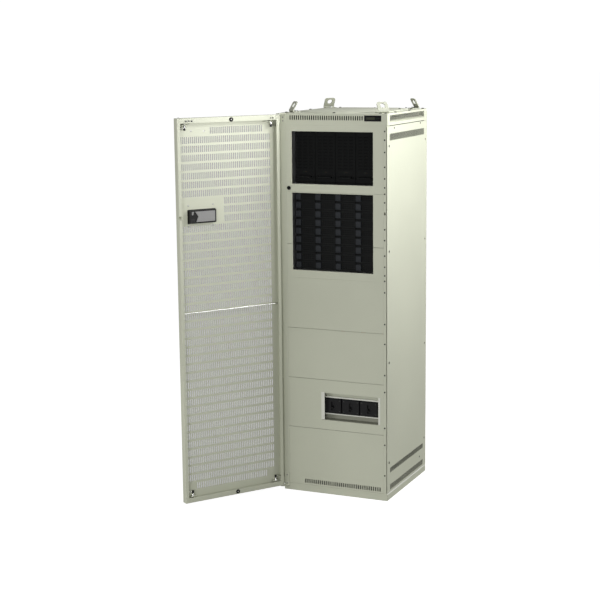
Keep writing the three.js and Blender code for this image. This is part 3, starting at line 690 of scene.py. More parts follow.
# hinge-side edge flange that closes the gap behind the door
m.box(-301.0, -sd + 0.2, FRONT + 0.3, FRONT + 1.9, 30, 1990, 0.4)
piece("corner_strip_left", "cabinet", m, [M_PAINT], ["post_front_left"])
m = Mesh()
sr = W / 2 - 5.6
m.slab(rect(272.2, sr, 38.4, 1938.6), FRONT, FRONT + 2, "xz", [rrect(275.5, 283.0, 1492.5, 1507.5, 1.5, 2)], c=0.15)
# the return is open behind the latch slot, where the hook travels
m.box(sr - 2, sr, FRONT + 2, FRONT + 38, 38.4, 1486, 0.3)
m.box(sr - 2, sr, FRONT + 2, FRONT + 38, 1514, 1938, 0.3)
m.box(272.5, 274.5, FRONT + 2, FRONT + 20, 38.4, 1938, 0.3)
piece("corner_strip_right", "cabinet", m, [M_PAINT], ["post_front_right"])
m = Mesh()
for z in (1912, 1869, 1808, 1734, 1676, 1631, 1599, 1556, 1420, 1365, 1286, 1229, 1185, 1157, 1098, 934, 831, 668, 579, 389, 299, 135):
    screw(m, 278.4, FRONT, z, "-y", 4.2, 1.4)
for z in (1912, 1631, 1556, 1229, 1098, 934, 668, 389, 135):
    screw(m, -277.0, FRONT, z, "-y", 3.2, 0.9, 1)
piece("fascia_screws", "cabinet", m, [M_HEAD, M_PAINT])

# ------------------------------------------------------------------ status display
m = Mesh()
m.slab(rrect(169, 260, 1961, 1990, 1.5, 3), FRONT - 1.2, FRONT + 1.9, "xz", [rrect(172.5, 256.5, 1964, 1987, 1.0, 3)], c=0.5, ch=0.4, mat=0)
m.box(172.6, 256.4, FRONT - 0.3, FRONT + 1.5, 1964.1, 1986.9, 0.2, 1)
m.box(175, 254, FRONT + 1.5, FRONT + 24, 1964, 1987, 0.6, 0)
for i, mt in ((0, 2), (1, 2), (2, 3)):
    m.lathe([(0, 0), (1.7, 0), (1.7, 0.3), (1.0, 0.7), (0, 0.8)], (236 + 7 * i, FRONT - 0.3, 1975.5), "-y", 16, mt)
m.box(179, 226, FRONT - 0.55, FRONT - 0.2, 1969, 1982, 0.15, 4)
M_LCD = coated("lcd_glass", (0.040, 0.043, 0.030), (0.1, 0.16), spec=0.4, tone=0.1, grain=300.0, lift=0.00001)
piece("display_unit", "cabinet", m, [M_MOULD, M_DISPLAY, M_LED, M_AMBER, M_LCD], ["status_display"])

# ------------------------------------------------------------------ bay lock
m = Mesh()
m.lathe([(0, 21), (6, 21), (6, -1), (10, -1), (10, -3.2), (9.2, -4), (7.0, -4), (6.6, -3.2), (6.4, -2.2), (0, -2.2)], (-248, FRONT, 1615.5), "y", 32)
m.box(-249.0, -247.0, FRONT - 3.1, FRONT - 2.0, 1610.5, 1620.5, 0.25, 1)
m.box(-251, -245, FRONT + 20, FRONT + 23, 1596, 1619, 0.5, 1)
piece("lock_barrel", "lock", m, [M_BLACK2, M_BLACK], ["bay_lock"])

# ------------------------------------------------------------------ power modules
for i in range(4):
    x0, x1 = BAY_X0 + i * COL + 0.8, BAY_X0 + (i + 1) * COL - 0.8
    z0, z1 = BAY1[0] + 0.8, BAY1[1] - 1.6
    m = Mesh()
    # case behind the face
    m.box(x0, x1, FACE + 3, FACE + 400, z0, z1, 1.0, 1)
    # face plate with intake slots
    holes = []
    for r in range(11):
        zc = z0 + 78 + r * 16.0
        for k in range(3):
            holes.append(slot(x0 + 24 + k * 31.0, zc, 24, 7, 3))
    m.slab(rrect(x0 + 0.4, x1 - 0.4, z0, z1, 1.2, 2), FACE, FACE + 2.2, "xz", holes, c=0.7, ch=0.0, mat=0)
    # folded side rims
    m.box(x0, x0 + 2.5, FACE - 1.2, FACE + 3, z0, z1, 0.5, 0)
    m.box(x1 - 2.5, x1, FACE - 1.2, FACE + 3, z0, z1, 0.5, 0)
    # pull handle: two feet and a rounded grip
    hz = BAY1[0] + 34
    for fx in (x0 + 19, x1 - 19):
        m.lathe([(0, 0), (6.5, 0), (6.5, 1.6), (4.2, 3.2), (4.2, 22)], (fx, FACE, hz), "-y", 18, 2)
    m.tube([(x0 + 19, FACE - 18, hz), (x0 + 19.3, FACE - 20.6, hz), (x0 + 20.5, FACE - 22.8, hz), (x0 + 23, FACE - 23.6, hz), (x1 - 23, FACE - 23.6, hz), (x1 - 20.5, FACE - 22.8, hz), (x1 - 19.3, FACE - 20.6, hz), (x1 - 19, FACE - 18, hz)], 4.2, 12, 2)
    # status lamps, captive screws
    for k, mt in ((0, 4), (1, 5), (2, 5)):
        m.lathe([(0, 0), (1.8, 0), (1.8, 0.4), (1.0, 0.9), (0, 1.0)], (x0 + 46 + 8 * k, FACE, z0 + 59), "-y", 12, mt)
    for sx_, sz_ in ((x0 + 8, z0 + 10), (x1 - 8, z0 + 10), (x0 + 8, z1 - 9), (x1 - 8, z1 - 9)):
        screw(m, sx_, FACE, sz_, "-y", 3.6, 1.6, 3)
    piece(f"power_unit_{i + 1}", f"power_{i + 1}", m, [M_PFACE, M_BLACK2, M_BLACK, M_PFACE, M_LED, M_AMBER], [f"power_module_{i + 1}"])

# ------------------------------------------------------------------ one-unit modules, nine rows of four
for r in range(9):
    z0 = BAY2[0] + 0.6 + r * U
    z1 = z0 + U - 1.0
    m = Mesh()
    m.box(BAY_X0 + 0.8, BAY_X1 - 0.8, FACE + 60, FACE + 300, z0, z1, 1.0, 1)
    for c in range(4):
        x0, x1 = BAY_X0 + c * COL + 0.8, BAY_X0 + (c + 1) * COL - 0.8
        m.box(x0, x1, FACE + 3, FACE + 60, z0, z1, 0.8, 1)
        # face plate with a field of intake slots
        holes = []
        for rr in range(3):
            for k in range(5):
                holes.append(slot(x0 + 45 + k * 12.2, z0 + 11.5 + rr * 10.2, 9, 4.6, 3))
        m.slab(rrect(x0 + 0.3, x1 - 0.3, z0, z1, 1.0, 2), FACE, FACE + 2.2, "xz", holes, c=0.6, mat=0)
        # ejector handle: a rounded pad with a finger scoop under its lower edge
        a0, a1 = x0 + 2.2, x0 + 31.0
        b0, b1 = z0 + 5.2, z1 - 5.2
        m.slab(rrect(a0, a1, b0, b1, 2.6, 4), FACE - 11.5, FACE + 0.5, "xz", c=1.6, mat=2)
        m.box(a0 + 5, a1 - 5, FACE - 12.0, FACE - 11.0, b0 + 3.0, b0 + 6.0, 0.3, 2)
        m.box(a0 + 5, a1 - 5, FACE - 12.0, FACE - 11.0, b0 + 8.0, b0 + 9.2, 0.3, 2)
        m.lathe([(0, 0), (1.5, 0), (1.5, 0.3), (0.8, 0.8), (0, 0.9)], (x0 + 36.5, FACE, z1 - 9), "-y", 10, 4)
        m.lathe([(0, 0), (1.5, 0), (1.5, 0.3), (0.8, 0.8), (0, 0.9)], (x0 + 36.5, FACE, z1 - 15), "-y", 10, 5)
        screw(m, x1 - 5.0, FACE, z0 + 8, "-y", 2.6, 1.2, 3)
        screw(m, x1 - 5.0, FACE, z1 - 8, "-y", 2.6, 1.2, 3)
    piece(f"unit_row_{r + 1}", f"row_{r + 1}", m, [M_BLACK, M_BLACK2, M_SLATE, M_BLACK, M_LED, M_AMBER], [f"module_row_{r + 1}"])

# ------------------------------------------------------------------ breaker recess
m = Mesh()
bx0, bx1, bz0, bz1 = BRK
yf, yb = FRONT + 2.2, BRK_FACE + 18
zl = BRK_CZ - BRK_H / 2 - 7.0
m.slab(rect(bx0 - 1.8, bx1 + 1.8, bz0 - 1.8, bz1 + 1.8), yf, yb - 2, "xz", [rect(bx0, bx1, bz0, bz1)], c=0.0)
win = rect(BRK_CX - 1.5 * BRK_P, BRK_CX + 1.5 * BRK_P, BRK_CZ - BRK_H / 2 - 0.6, BRK_CZ + BRK_H / 2 + 0.6)
m.slab(rect(bx0 - 1.8, bx1 + 1.8, bz0 - 1.8, bz1 + 1.8), yb - 2, yb, "xz", [rect(max(bx0 + 0.5, BRK_CX - 1.5 * BRK_P), BRK_CX + 1.5 * BRK_P, BRK_CZ - BRK_H / 2 - 0.6, BRK_CZ + BRK_H / 2 + 0.6), rect(bx0 + 0.5, bx1 - 0.5, bz0 + 0.5, zl)], c=0.0)
# the recess walls take the darkened beige: painted shade
piece("breaker_recess", "cabinet", m, [M_PAINT_SHADED], ["breaker_pan"])
# cable trough that steps back under the breakers, coloured dark olive: painted shade of the recess
m = Mesh()
m.box(bx0 - 1.8, bx1 + 1.8, yb, yb + 46, bz0 - 1.8, bz0 - 0.2, 0.2)
m.box(bx0 - 1.8, bx1 + 1.8, yb + 10.4, yb + 12, bz0 - 0.2, zl + 2, 0.2)
m.box(bx0 - 1.8, bx0 - 0.2, yb, yb + 46, bz0 - 0.2, zl + 2, 0.2)
m.box(bx1 + 0.2, bx1 + 1.8, yb, yb + 46, bz0 - 0.2, zl + 2, 0.2)
m.box(bx0 - 1.8, bx1 + 1.8, yb, yb + 46, zl + 2, zl + 3.6, 0.2)
m.box(bx0 + 0.3, bx1 - 0.3, yf + 1, yb - 2.1, bz0 + 0.2, bz0 + 1.4, 0.2)
piece("breaker_trough", "cabinet", m, [M_TROUGH_SHADE])
# trim bars on both sides of the opening, coloured a lighter beige: painted highlight for the lit recess edges
m = Mesh()
m.box(-76.0, -57.0, FRONT - 1.2, FRONT - 0.05, 404, 551, 0.4)
m.box(243.0, 254.0, FRONT - 1.2, FRONT - 0.05, 404, 547, 0.4)
piece("breaker_trim", "cabinet", m, [M_PAINT_HIGHLIGHT])
# rails above and below the breakers, coloured a lighter beige: painted highlight
m = Mesh()
m.box(bx0 + 0.6, bx1 - 0.6, BRK_FACE + 4.0, BRK_FACE + 16, BRK_CZ + BRK_H / 2 + 0.6, BRK_CZ + BRK_H / 2 + 8.6, 0.6)
m.box(bx0 + 0.6, bx1 - 0.6, BRK_FACE + 4.0, BRK_FACE + 16, BRK_CZ - BRK_H / 2 - 6.0, BRK_CZ - BRK_H / 2 - 0.6, 0.6)
piece("breaker_rails", "cabinet", m, [M_PAINT_HIGHLIGHT])
for i in range(3):
    cx = BRK_CX + (i - 1) * BRK_P
    m = Mesh()
    m.box(cx - BRK_W / 2, cx + BRK_W / 2, BRK_FACE + 6, BRK_FACE + 90, BRK_CZ - BRK_H / 2, BRK_CZ + BRK_H / 2, 1.2, 0)
    # face with the toggle window, a narrow gap to its neighbours
    m.slab(rrect(cx - 47.6, cx + 47.6, BRK_CZ - BRK_H / 2 + 4, BRK_CZ + BRK_H / 2 - 4, 2, 3), BRK_FACE, BRK_FACE + 7, "xz", [rrect(cx - 7.2, cx + 7.2, BRK_CZ - 22, BRK_CZ + 22, 1.5, 3)], c=1.0, ch=0.8, mat=0)
    m.slab(rrect(cx - 11, cx + 11, BRK_CZ - 27, BRK_CZ + 27, 2, 3), BRK_FACE - 0.9, BRK_FACE + 1, "xz", [rrect(cx - 7.6, cx + 7.6, BRK_CZ - 22.5, BRK_CZ + 22.5, 1.5, 3)], c=0.4, ch=0.3, mat=0)
    for sx_ in (-38.5, 38.5):
        for sz_ in (-28, 28):
            screw(m, cx + sx_, BRK_FACE, BRK_CZ + sz_, "-y", 3.8, 0.6, 1)
    for k in range(5):
        m.box(cx + 14, cx + 26, BRK_FACE - 0.5, BRK_FACE + 0.5, BRK_CZ - 16 + k * 5, BRK_CZ - 13.6 + k * 5, 0.2, 0)
    piece(f"breaker_case_{i + 1}", "cabinet", m, [M_MOULD, M_DARKPIN], [f"breaker_{i + 1}"])
    m = Mesh()
    py = BRK_FACE + 13
    m.lathe([(0, -6), (6.0, -6), (6.5, -5.5), (6.5, 5.5), (6.0, 6), (0, 6)], (cx, py, BRK_CZ), "x", 24)
    c_, s_ = math.cos(0.42), math.sin(0.42)
    def lev(p, cx=cx, py=py):
        x, y, z = p
        return (cx + x, py + y * c_ - z * s_, BRK_CZ + y * s_ + z * c_)
    m.box(-4.5, 4.5, -23.8, -3, -4, 4, 1.4, 0, lev)
    for k in range(3):
        m.box(-4.0, 4.0, -23.2, -22.0 + 0.0, -2.6 + k * 2.0, -1.8 + k * 2.0, 0.2, 0, lev)
    piece(f"toggle_lever_{i + 1}", f"toggle_{i + 1}", m, [M_TOGGLE], [f"breaker_toggle_{i + 1}"])

# ------------------------------------------------------------------ hinge brackets
def bracket(name, node, z0, legs, top):
    mm = Mesh()
    hole = circle(HX, HY, 4.7, 24)
    out = [(-263, -300.4), (-263, -308), (-284, -330), (-303, -330), (-304, -329), (-304, -308), (-299, -300.4)]
    mm.slab(out[::-1], z0, z0 + 4, "xy", [hole], c=0.5)
    mm.slab(rrect(-290, -264, legs[0], legs[1], 3, 3), FRONT - 3.3, FRONT - 0.3, "xz", c=0.5)
    piece(name, "cabinet", mm, [M_PAINT], [node])
    sm = Mesh()
    for z in ((legs[0] + 12, legs[1] - 12) if not top else (legs[0] + 9, legs[0] + 27)):
        screw(sm, -277, FRONT - 3.3, z, "-y", 4.2, 0.8)
    piece(name + "_screws", "cabinet", sm, [M_SCREW])
bracket("bracket_top", "hinge_bracket_top", 1993.8, (1950, 1994.5), True)
bracket("bracket_bottom", "hinge_bracket_bottom", 21.0, (22, 92), False)

# ------------------------------------------------------------------ door
dx0, dx1 = -W / 2, W / 2
SK = 1.5
m = Mesh()
holes = []
TOP0 = 1896.5
def door_row(zt, a0, a1):
    n = int(round((a1 - a0) / 11.11)) + 1
    step = (a1 - a0) / (n - 1)
    return [slot(a0 + i * step, zt - 16, 6.2, 34.5, 2) for i in range(n)]
for k in range(-1, 41):
    zt = TOP0 - U * k
    a0, a1 = -248.9, 257.6
    if k == -1:
        a0, a1 = -204.5, 90.0
    elif k == 40:
        a0, a1 = -204.5, 206.6
    row = door_row(zt, a0, a1)
    if k in (7, 8, 9):
        row = [s for s in row if sum(p[0] for p in s) / len(s) < 22]
    holes += row
window = rect(76, 226.5, 1467, 1532)
RF = 2.6
m.slab(rect(dx0 + RF, dx1 - RF, DZ0 + RF, DZ1 - RF), DY0, DY0 + SKV, "xz", holes + [window], c=0.0)
# folded rim: outer radius at the skin, flange, and the return lip, swept round the four sides
def rim_profile(lip):
    pts = []
    for i in range(5):                                   # outside of the fold, from the skin to the flange
        t = math.radians(90 * i / 4)
        pts.append((RF - RF * math.sin(t), RF - RF * math.cos(t)))
    pts += [(0.0, DY1 - DY0 - RF)]
    for i in range(1, 5):
        t = math.radians(90 * i / 4)
        pts.append((RF - RF * math.cos(t), DY1 - DY0 - RF + RF * math.sin(t)))
    pts += [(lip - 0.3, DY1 - DY0), (lip, DY1 - DY0 - 0.3), (lip, DY1 - DY0 - SK + 0.3), (lip - 0.3, DY1 - DY0 - SK), (RF, DY1 - DY0 - SK)]
    ri = RF - SK
    for i in range(1, 4):
        t = math.radians(90 * i / 3)
        pts.append((RF - ri * math.sin(t), DY1 - DY0 - RF + ri * math.cos(t)))
    pts += [(SK, RF)]
    for i in range(1, 4):
        t = math.radians(90 * i / 3)
        pts.append((RF - ri * math.cos(t), RF - ri * math.sin(t)))
    return pts
# each side of the rim is its own folded length, butted at the corners
LIP_S, LIP_E = 18.0, 26.0
prof = rim_profile(LIP_S)
prof_e = rim_profile(LIP_E)
def run(mm, pr, side, a, b):
    at = {
        "free": lambda i, h, t: (dx1 - i, DY0 + h, t),
        "hinge": lambda i, h, t: (dx0 + i, DY0 + h, t),
        "top": lambda i, h, t: (t, DY0 + h, DZ1 - i),
        "bottom": lambda i, h, t: (t, DY0 + h, DZ0 + i),
    }[side]
    nn = len(pr)
    V = [at(i, h, a) for i, h in pr] + [at(i, h, b) for i, h in pr]
    F = [(i, (i + 1) % nn, nn + (i + 1) % nn, nn + i) for i in range(nn)]
    F += [tuple(range(nn)), tuple(range(nn, 2 * nn))]
    mm.add(V, F)
# across the latch notch only the fold and the flange go on
fl = [(RF, 0.0)] + [(RF - RF * math.sin(math.radians(90 * i / 4)), RF - RF * math.cos(math.radians(90 * i / 4))) for i in range(1, 5)] + [(0.0, DY1 - DY0 - 3.6), (SK, DY1 - DY0 - 3.6), (SK, RF)] + [(RF - (RF - SK) * math.cos(math.radians(90 * i / 3)), RF - (RF - SK) * math.sin(math.radians(90 * i / 3))) for i in range(1, 4)]
run(m, prof, "free", DZ0 + 0.5, 1488.0)
run(m, fl, "free", 1488.0, 1512.0)
run(m, prof, "free", 1512.0, DZ1 - 0.5)
# the hinge flange is slotted for the pull arms of the two hinge bolts
for a_, b_ in ((DZ0 + 0.5, 74.5), (102.0, 1917.0), (1944.5, DZ1 - 0.5)):
    run(m, prof, "hinge", a_, b_)
arm_lo = fl[:5] + [(0.0, 18.5), (SK, 18.5)] + fl[7:]
arm_hi = [(0.0, 25.5)] + [p for p in prof if p[1] > 26.0 and p not in ((SK, RF),)] + [(SK, 25.5)]
for a_, b_ in ((74.5, 102.0), (1917.0, 1944.5)):
    run(m, arm_lo, "hinge", a_, b_)
    run(m, arm_hi, "hinge", a_, b_)
run(m, prof_e, "top", dx0 + LIP_S + 0.2, dx1 - LIP_S - 0.2)
run(m, prof_e, "bottom", dx0 + LIP_S + 0.2, dx1 - LIP_S - 0.2)
for z_, s_ in ((DZ1, -1), (DZ0, 1)):
    for xa, xb in ((dx0 + 0.5, dx0 + LIP_S + 0.2), (dx1 - LIP_S - 0.2, dx1 - 0.5)):
        zz = sorted((z_, z_ + s_ * SK))
        m.box(xa, xb, DY0 + 0.5, DY1 - SK, zz[0] + (0.4 if s_ > 0 else 0), zz[1] - (0.4 if s_ < 0 else 0), 0.3)
# hinge knuckles, pressed from the hinge flange
for z0, z1 in ((1944, 1991), (28, 75)):
    m.ring([(4.5, z0), (7.2, z0), (7.5, z0 + 0.4), (7.5, z1 - 0.4), (7.2, z1), (4.5, z1)], (HX, HY, 0), "z", 28)
    m.box(HX + 6.6, -283, HY - 1.2, HY + 1.2, z0 + 1, z1 - 1, 0.3)
piece("door_tray", "door", m, [M_PAINT], ["door_panel"], door=True)

# dark see-through screen behind the door slots: painted shade that darkens what shows through them
def dark_screen_material(name):
    mt, nt, bs = new_material(name)
    co = coords(nt)
    screen_noise = noise(nt, co, 1.0, 1.0, 0.5, (900.0, 900.0, 900.0))
    # near-black screen colour: painted shade seen through the slots
    nt.links.new(ramp(nt, screen_noise, [(0.3, (0.030, 0.030, 0.030)), (0.7, (0.050, 0.050, 0.050))]), bs.inputs["Base Color"])
    nt.links.new(remap(nt, screen_noise, 0.3, 0.7, 0.62, 0.52), bs.inputs["Alpha"])
    bs.inputs["Roughness"].default_value = 0.8
    bs.inputs["Specular IOR Level"].default_value = 0.1
    return mt
m = Mesh()
sheet = [rect(-254, 262, 80, 1943), rect(74.0, 229.0, 1464.0, 1535.0)]
co_, tris_, back_ = triangulate(sheet)
m.add([(a_, DY0 + 0.7, b_) for a_, b_ in co_], list(tris_))
piece("door_shade_screen", "door", m, [dark_screen_material("shade_screen_dark")], door=True)

# two small pressed pips above the slots
m = Mesh()
for x, z in ((199.0, 1926.0), (125.6, 1923.0)):
    m.lathe([(0, 0), (5.2, 0), (4.4, 0.7), (3.0, 0.9), (2.2, 0.3), (0, 0.3)], (x, DY0 + SKV, z), "y", 20)
piece("door_pips", "door", m, [M_STUD], door=True)

# stiffening bar across the inside
m = Mesh()
m.lathe([(0, 0), (2.9, 0), (2.9, 580.6), (0, 580.6)], (dx0 + 2.2, DY0 + 16.5, 1012.5), "x", 20, 1)
for x in (dx0 + 3.4, dx1 - 3.4):
    m.box(x - 1.0, x + 1.0, DY0 + 8, DY0 + 25, 1003, 1022, 0.4)
piece("door_bar", "door", m, [M_PAINT, M_BAR], ["door_stiffener"], door=True)

# flush handle housing
m = Mesh()
y0, y1 = DY0 - 2.4, PAN_Y1
WX0, WX1, WZ0, WZ1 = 76.6, 226.0, 1467.6, 1531.4
m.slab(rrect(72, 231, 1463, 1536, 3, 3), y0, DY0 - 0.1, "xz", [rrect(82, 221, 1473, 1526, 4, 3)], c=0.8, ch=0.6, mat=0)
m.slab(rect(WX0, WX1, WZ0, WZ1), DY0 - 0.3, y1 - 5, "xz", [rrect(82, 221, 1473, 1526, 4, 3)], c=0.0, mat=0)
m.slab(rect(WX0, WX1, WZ0, WZ1), y1 - 5, y1 - 3.6, "xz", c=0.0, mat=0)
# inner clamping frame against the skin
m.slab(rrect(71.2, 229.6, 1463.4, 1534.8, 2.5, 3), DY0 + SKV + 0.1, DY0 + SKV + 3.2, "xz", [rect(WX0, WX1, WZ0, WZ1)], c=0.8, mat=0)
# black rim round the pan, open where the tongue leaves
m.slab(rrect(WX0, WX1, WZ0, WZ1, 1, 2), y1 - 3.6, y1 - 2.1, "xz", [rrect(81.5, 221.5, 1472.5, 1526.5, 1, 2)], c=0.5, ch=0.3, mat=0)
# grey cover plate with a notched end towards the free side
plate = [(83.0, 1473.2), (190.0, 1473.2), (178.0, 1501.0), (196.0, 1525.8), (83.0, 1525.8)]
m.slab(plate, y1 - 3.5, y1 - 1.6, "xz", c=0.3, mat=1)
for x, z in ((90, 1479), (90, 1520), (160, 1520), (160, 1479)):
    m.lathe([(0, 0), (2.6, 0), (2.6, 0.5), (1.8, 0.9), (0, 0.9)], (x, y1 - 1.7, z), "y", 14, 1)
# cam and return spring in the open end
m.lathe([(0, 0), (6.5, 0), (6.5, 0.8), (5.6, 1.2), (0, 1.2)], (207, y1 - 3.6, 1484), "y", 24, 2)
m.slab([(206, 1509), (214, 1509), (214, 1525), (203, 1525), (203, 1519), (206, 1517)], y1 - 3.5, y1 - 2.3, "xz", c=0.2, mat=1)
m.box(198, 219, y1 - 3.5, y1 - 2.9, 1475, 1488, 0.4, 2)
piece("handle_housing", "door", m, [M_TOGGLE, M_LOCKGREY, M_DARKPIN], ["door_lock_housing"], door=True)
m = Mesh()
for x, z in ((223.5, 1555.2), (83.8, 1555.4), (84.0, 1450.0), (223.5, 1450.0)):
    m.lathe([(0, 0), (4.6, 0), (4.6, 0.8), (3.4, 1.2), (0, 1.2)], (x, DY0 + SKV, z), "y", 20, 0)
    screw(m, x, DY0 + SKV + 1.1, z, "y", 3.2, 1.2, 0)
piece("housing_studs", "door", m, [M_STUD], door=True)

# lever
m = Mesh()
m.box(98, 204, DY0 - 2.4, DY0 + 2.6, 1480, 1520, 1.6, 0)
m.lathe([(0, -25), (4.4, -25), (5, -24.4), (5, 24.4), (4.4, 25), (0, 25)], (98, DY0 + 2.4, 1500), "z", 24, 0)
for k in range(4):
    m.box(182 + 5 * k, 184.4 + 5 * k, DY0 - 2.39, DY0 - 1.6, 1484, 1516, 0.2, 0)
piece("handle_lever", "handle", m, [M_TOGGLE], ["door_handle"], door=True)

# latch slide with its hook: a wide plate behind the lock, a slim tongue beyond it
m = Mesh()
# the part inside the housing is blackened and runs under the cover plate
m.box(192, 225, PAN_Y1 - 3.4, PAN_Y1 - 2.0, 1494.0, 1506.0, 0.3, 1)
m.box(222, 225, PAN_Y1 - 3.4, PAN_Y1 - 2.0, 1496.0, 1504.0, 0.3, 1)
m.box(228, 282.4, DY0 + SKV + 0.4, DY0 + SKV + 2.0, 1496, 1504, 0.3)
m.box(280, 282.5, DY0 + SKV + 0.4, FRONT + 12, 1494.2, 1505.8, 0.4)
m.box(282.3, 286.6, FRONT + 7, FRONT + 12, 1494.2, 1505.8, 0.6)
piece("latch_bar", "latch", m, [M_PAINT, M_TOGGLE], ["latch_slide"], door=True)

# spring bolts
def spring_bolt(name, body, node, px, d, ztip, arm, kx):
    mm = Mesh()
    ax = "z" if d > 0 else "-z"
    # pin with a domed tip
    L = abs(ztip - arm)
    mm.lathe([(0, 0), (4, 0), (4, L - 2), (3.4, L - 0.6), (0, L)], (px, HY, arm), ax, 20, 0)
    z0, z1 = (arm, arm + 4) if d > 0 else (arm - 4, arm)
    a, b_ = min(px, kx), max(px, kx)
    mm.box(a - 3.5, b_ + 3.5, HY - 2, HY + 2, z0, z1, 1.2, 0)
    kz = arm + 1 * d
    # black pull knob with a waist
    mm.lathe([(0, -7), (4.6, -7), (5.7, -6), (6, -4.8), (5.2, -1.5), (5.2, 1.0), (6, 4.0), (5.7, 6), (4.6, 7), (0, 7)], (kx, HY, kz), "z", 24, 1)
    # chromed guide rod, collar and spring over the knob
    gz = arm + 8 * d
    mm.lathe([(0, 0), (6.6, 0), (7.4, 1.0), (7.4, 2.4), (6.6, 3.4), (3.2, 3.6), (3.2, 26), (2.6, 27), (0, 27)], (kx, HY, gz - 0.4 * d), ax, 24, 0)
    mm.helix((kx, HY), 4.6, min(gz + 4 * d, gz + 20 * d), max(gz + 4 * d, gz + 20 * d), 6, 0.8, mat=0)
    piece(name, body, mm, [M_CHROME, M_TOGGLE], [node], door=True)
spring_bolt("pin_hinge_top", "hinge_pin_top", "hinge_bolt_top", HX, 1, 1999, 1936, -248)
spring_bolt("pin_hinge_bottom", "hinge_pin_bottom", "hinge_bolt_bottom", HX, -1, 19.5, 83, -248)
spring_bolt("pin_free_top", "free_pin_top", "free_bolt_top", 278, 1, 1996, 1936, 246)
spring_bolt("pin_free_bottom", "free_pin_bottom", "free_bolt_bottom", 278, -1, 23, 83, 246)

# folded cradles that guide the spring bolts, spot-welded to the skin
m = Mesh()
for kx in (-248.0, 246.0):
    for d, arm in ((1, 1936.0), (-1, 83.0)):
        gz = arm + 23 * d
        zz = sorted((gz, gz + 2.0 * d))
        # ear with a hole round the guide rod
        sx_ = -1 if kx > 0 else 1
        ea, eb = sorted((kx - 14 * sx_, kx + (34 if d > 0 else 14) * sx_))
        out = [(ea, DY0 + SKV), (eb, DY0 + SKV), (eb, HY + 3), (eb - 6, HY + 9), (ea + 6, HY + 9), (ea, HY + 3)]
        m.slab(out, zz[0], zz[1], "xy", [circle(kx, HY, 4.2, 20)], c=0.3)
        zf = sorted((gz, gz + 17.0 * d))
        m.box(ea, eb, DY0 + SKV, DY0 + SKV + 1.8, zf[0], zf[1], 0.5)
        for s_ in (-1, 1):
            m.lathe([(0, 0), (2.2, 0), (2.0, 0.5), (0, 0.7)], (kx + 8.5 * s_, DY0 + SKV + 1.8, gz + 9 * d), "y", 12)
piece("bolt_cradles", "door", m, [M_PAINT], door=True)

# small guide plates on the top lip beside the spring bolts, with dark strips on them that are painted shadow
m = Mesh()
for x0, x1, shadow_strips in ((203, 251, ((206, 217), (222, 234), (239, 248))), (-258, -236, ((-256, -249), (-245, -238)))):
    m.box(x0, x1, DY1 + 0.1, DY1 + 0.9, 1970.5, 1982.0, 0.2, 0)
    for i, (u0, u1) in enumerate(shadow_strips):
        m.box(u0, u1, DY1 + 0.8, DY1 + 1.2, 1972.0 + (i % 2) * 2.0, 1980.5, 0.15, 1)
piece("bolt_guide_plates", "door", m, [M_PAINT, M_DARKPIN], door=True)

# buffers: rubber head on the lip with a screw through it
m = Mesh()
for z in (1977.0, 42.0):
    m.lathe([(0, 0), (10.6, 0), (11, 0.5), (10.9, 2.6), (10.2, 3.6), (9.0, 3.8), (5.2, 3.8), (4.6, 2.6), (0, 2.6)], (-11, DY1 + 0.2, z), "y", 32, 0)
    m.lathe([(0, 0), (3.4, 0), (3.4, 0.9), (2.6, 1.4), (0, 1.4)], (-11, DY1 + 2.7, z), "y", 20, 1)
piece("door_buffers", "door", m, [M_RUBBER, M_STUD], ["door_buffer_top", "door_buffer_bottom"], door=True)

# ------------------------------------------------------------------ carried-over CAD nodes
# the top frame and rear posts take the darkened beige: painted shade
for node, mat in (("top_frame", M_PAINT_SHADED), ("post_rear_left", M_PAINT_SHADED), ("post_rear_right", M_PAINT_SHADED), ("upper_module_cage", M_ZINC), ("lower_module_cage", M_ZINC), ("power_backplane", M_COPPER), ("terminal_block", M_MOULD)):
    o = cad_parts[node]
    o.data.materials.clear()
    o.data.materials.append(mat)

# ------------------------------------------------------------------ floor, light, camera
def plain(name, rgb, emit):
    mt, nt, bs = new_material(name)
    co = coords(nt)
    nt.links.new(ramp(nt, noise(nt, co, 1.3, 3.0), [(0.3, scaled(rgb, 0.99)), (0.7, scaled(rgb, 1.01))]), bs.inputs["Base Color"])
    bs.inputs["Roughness"].default_value = 0.9
    bs.inputs["Specular IOR Level"].default_value = 0.0
    if emit:
        bs.inputs["Emission Color"].default_value = (1, 1, 1, 1)
        bs.inputs["Emission Strength"].default_value = emit
    return mt

def floor(name, z, mat, camera):
    me = bpy.data.meshes.new(name)
    s = 120.0
    me.from_pydata([(-s, -s, z), (s, -s, z), (s, s, z), (-s, s, z)], [], [(0, 1, 2, 3)])
    me.materials.append(mat)
    o = bpy.data.objects.new(name, me)
    bpy.context.scene.collection.objects.link(o)
    return o
f1 = floor("floor", -0.0006, plain("floor_white", (0.45, 0.45, 0.45), 0.84), True)
f1.visible_diffuse = False
f1.visible_glossy = False
f2 = floor("floor_bounce", -0.0012, plain("floor_bounce", (0.55, 0.55, 0.53), 0.0), False)
f2.visible_camera = False

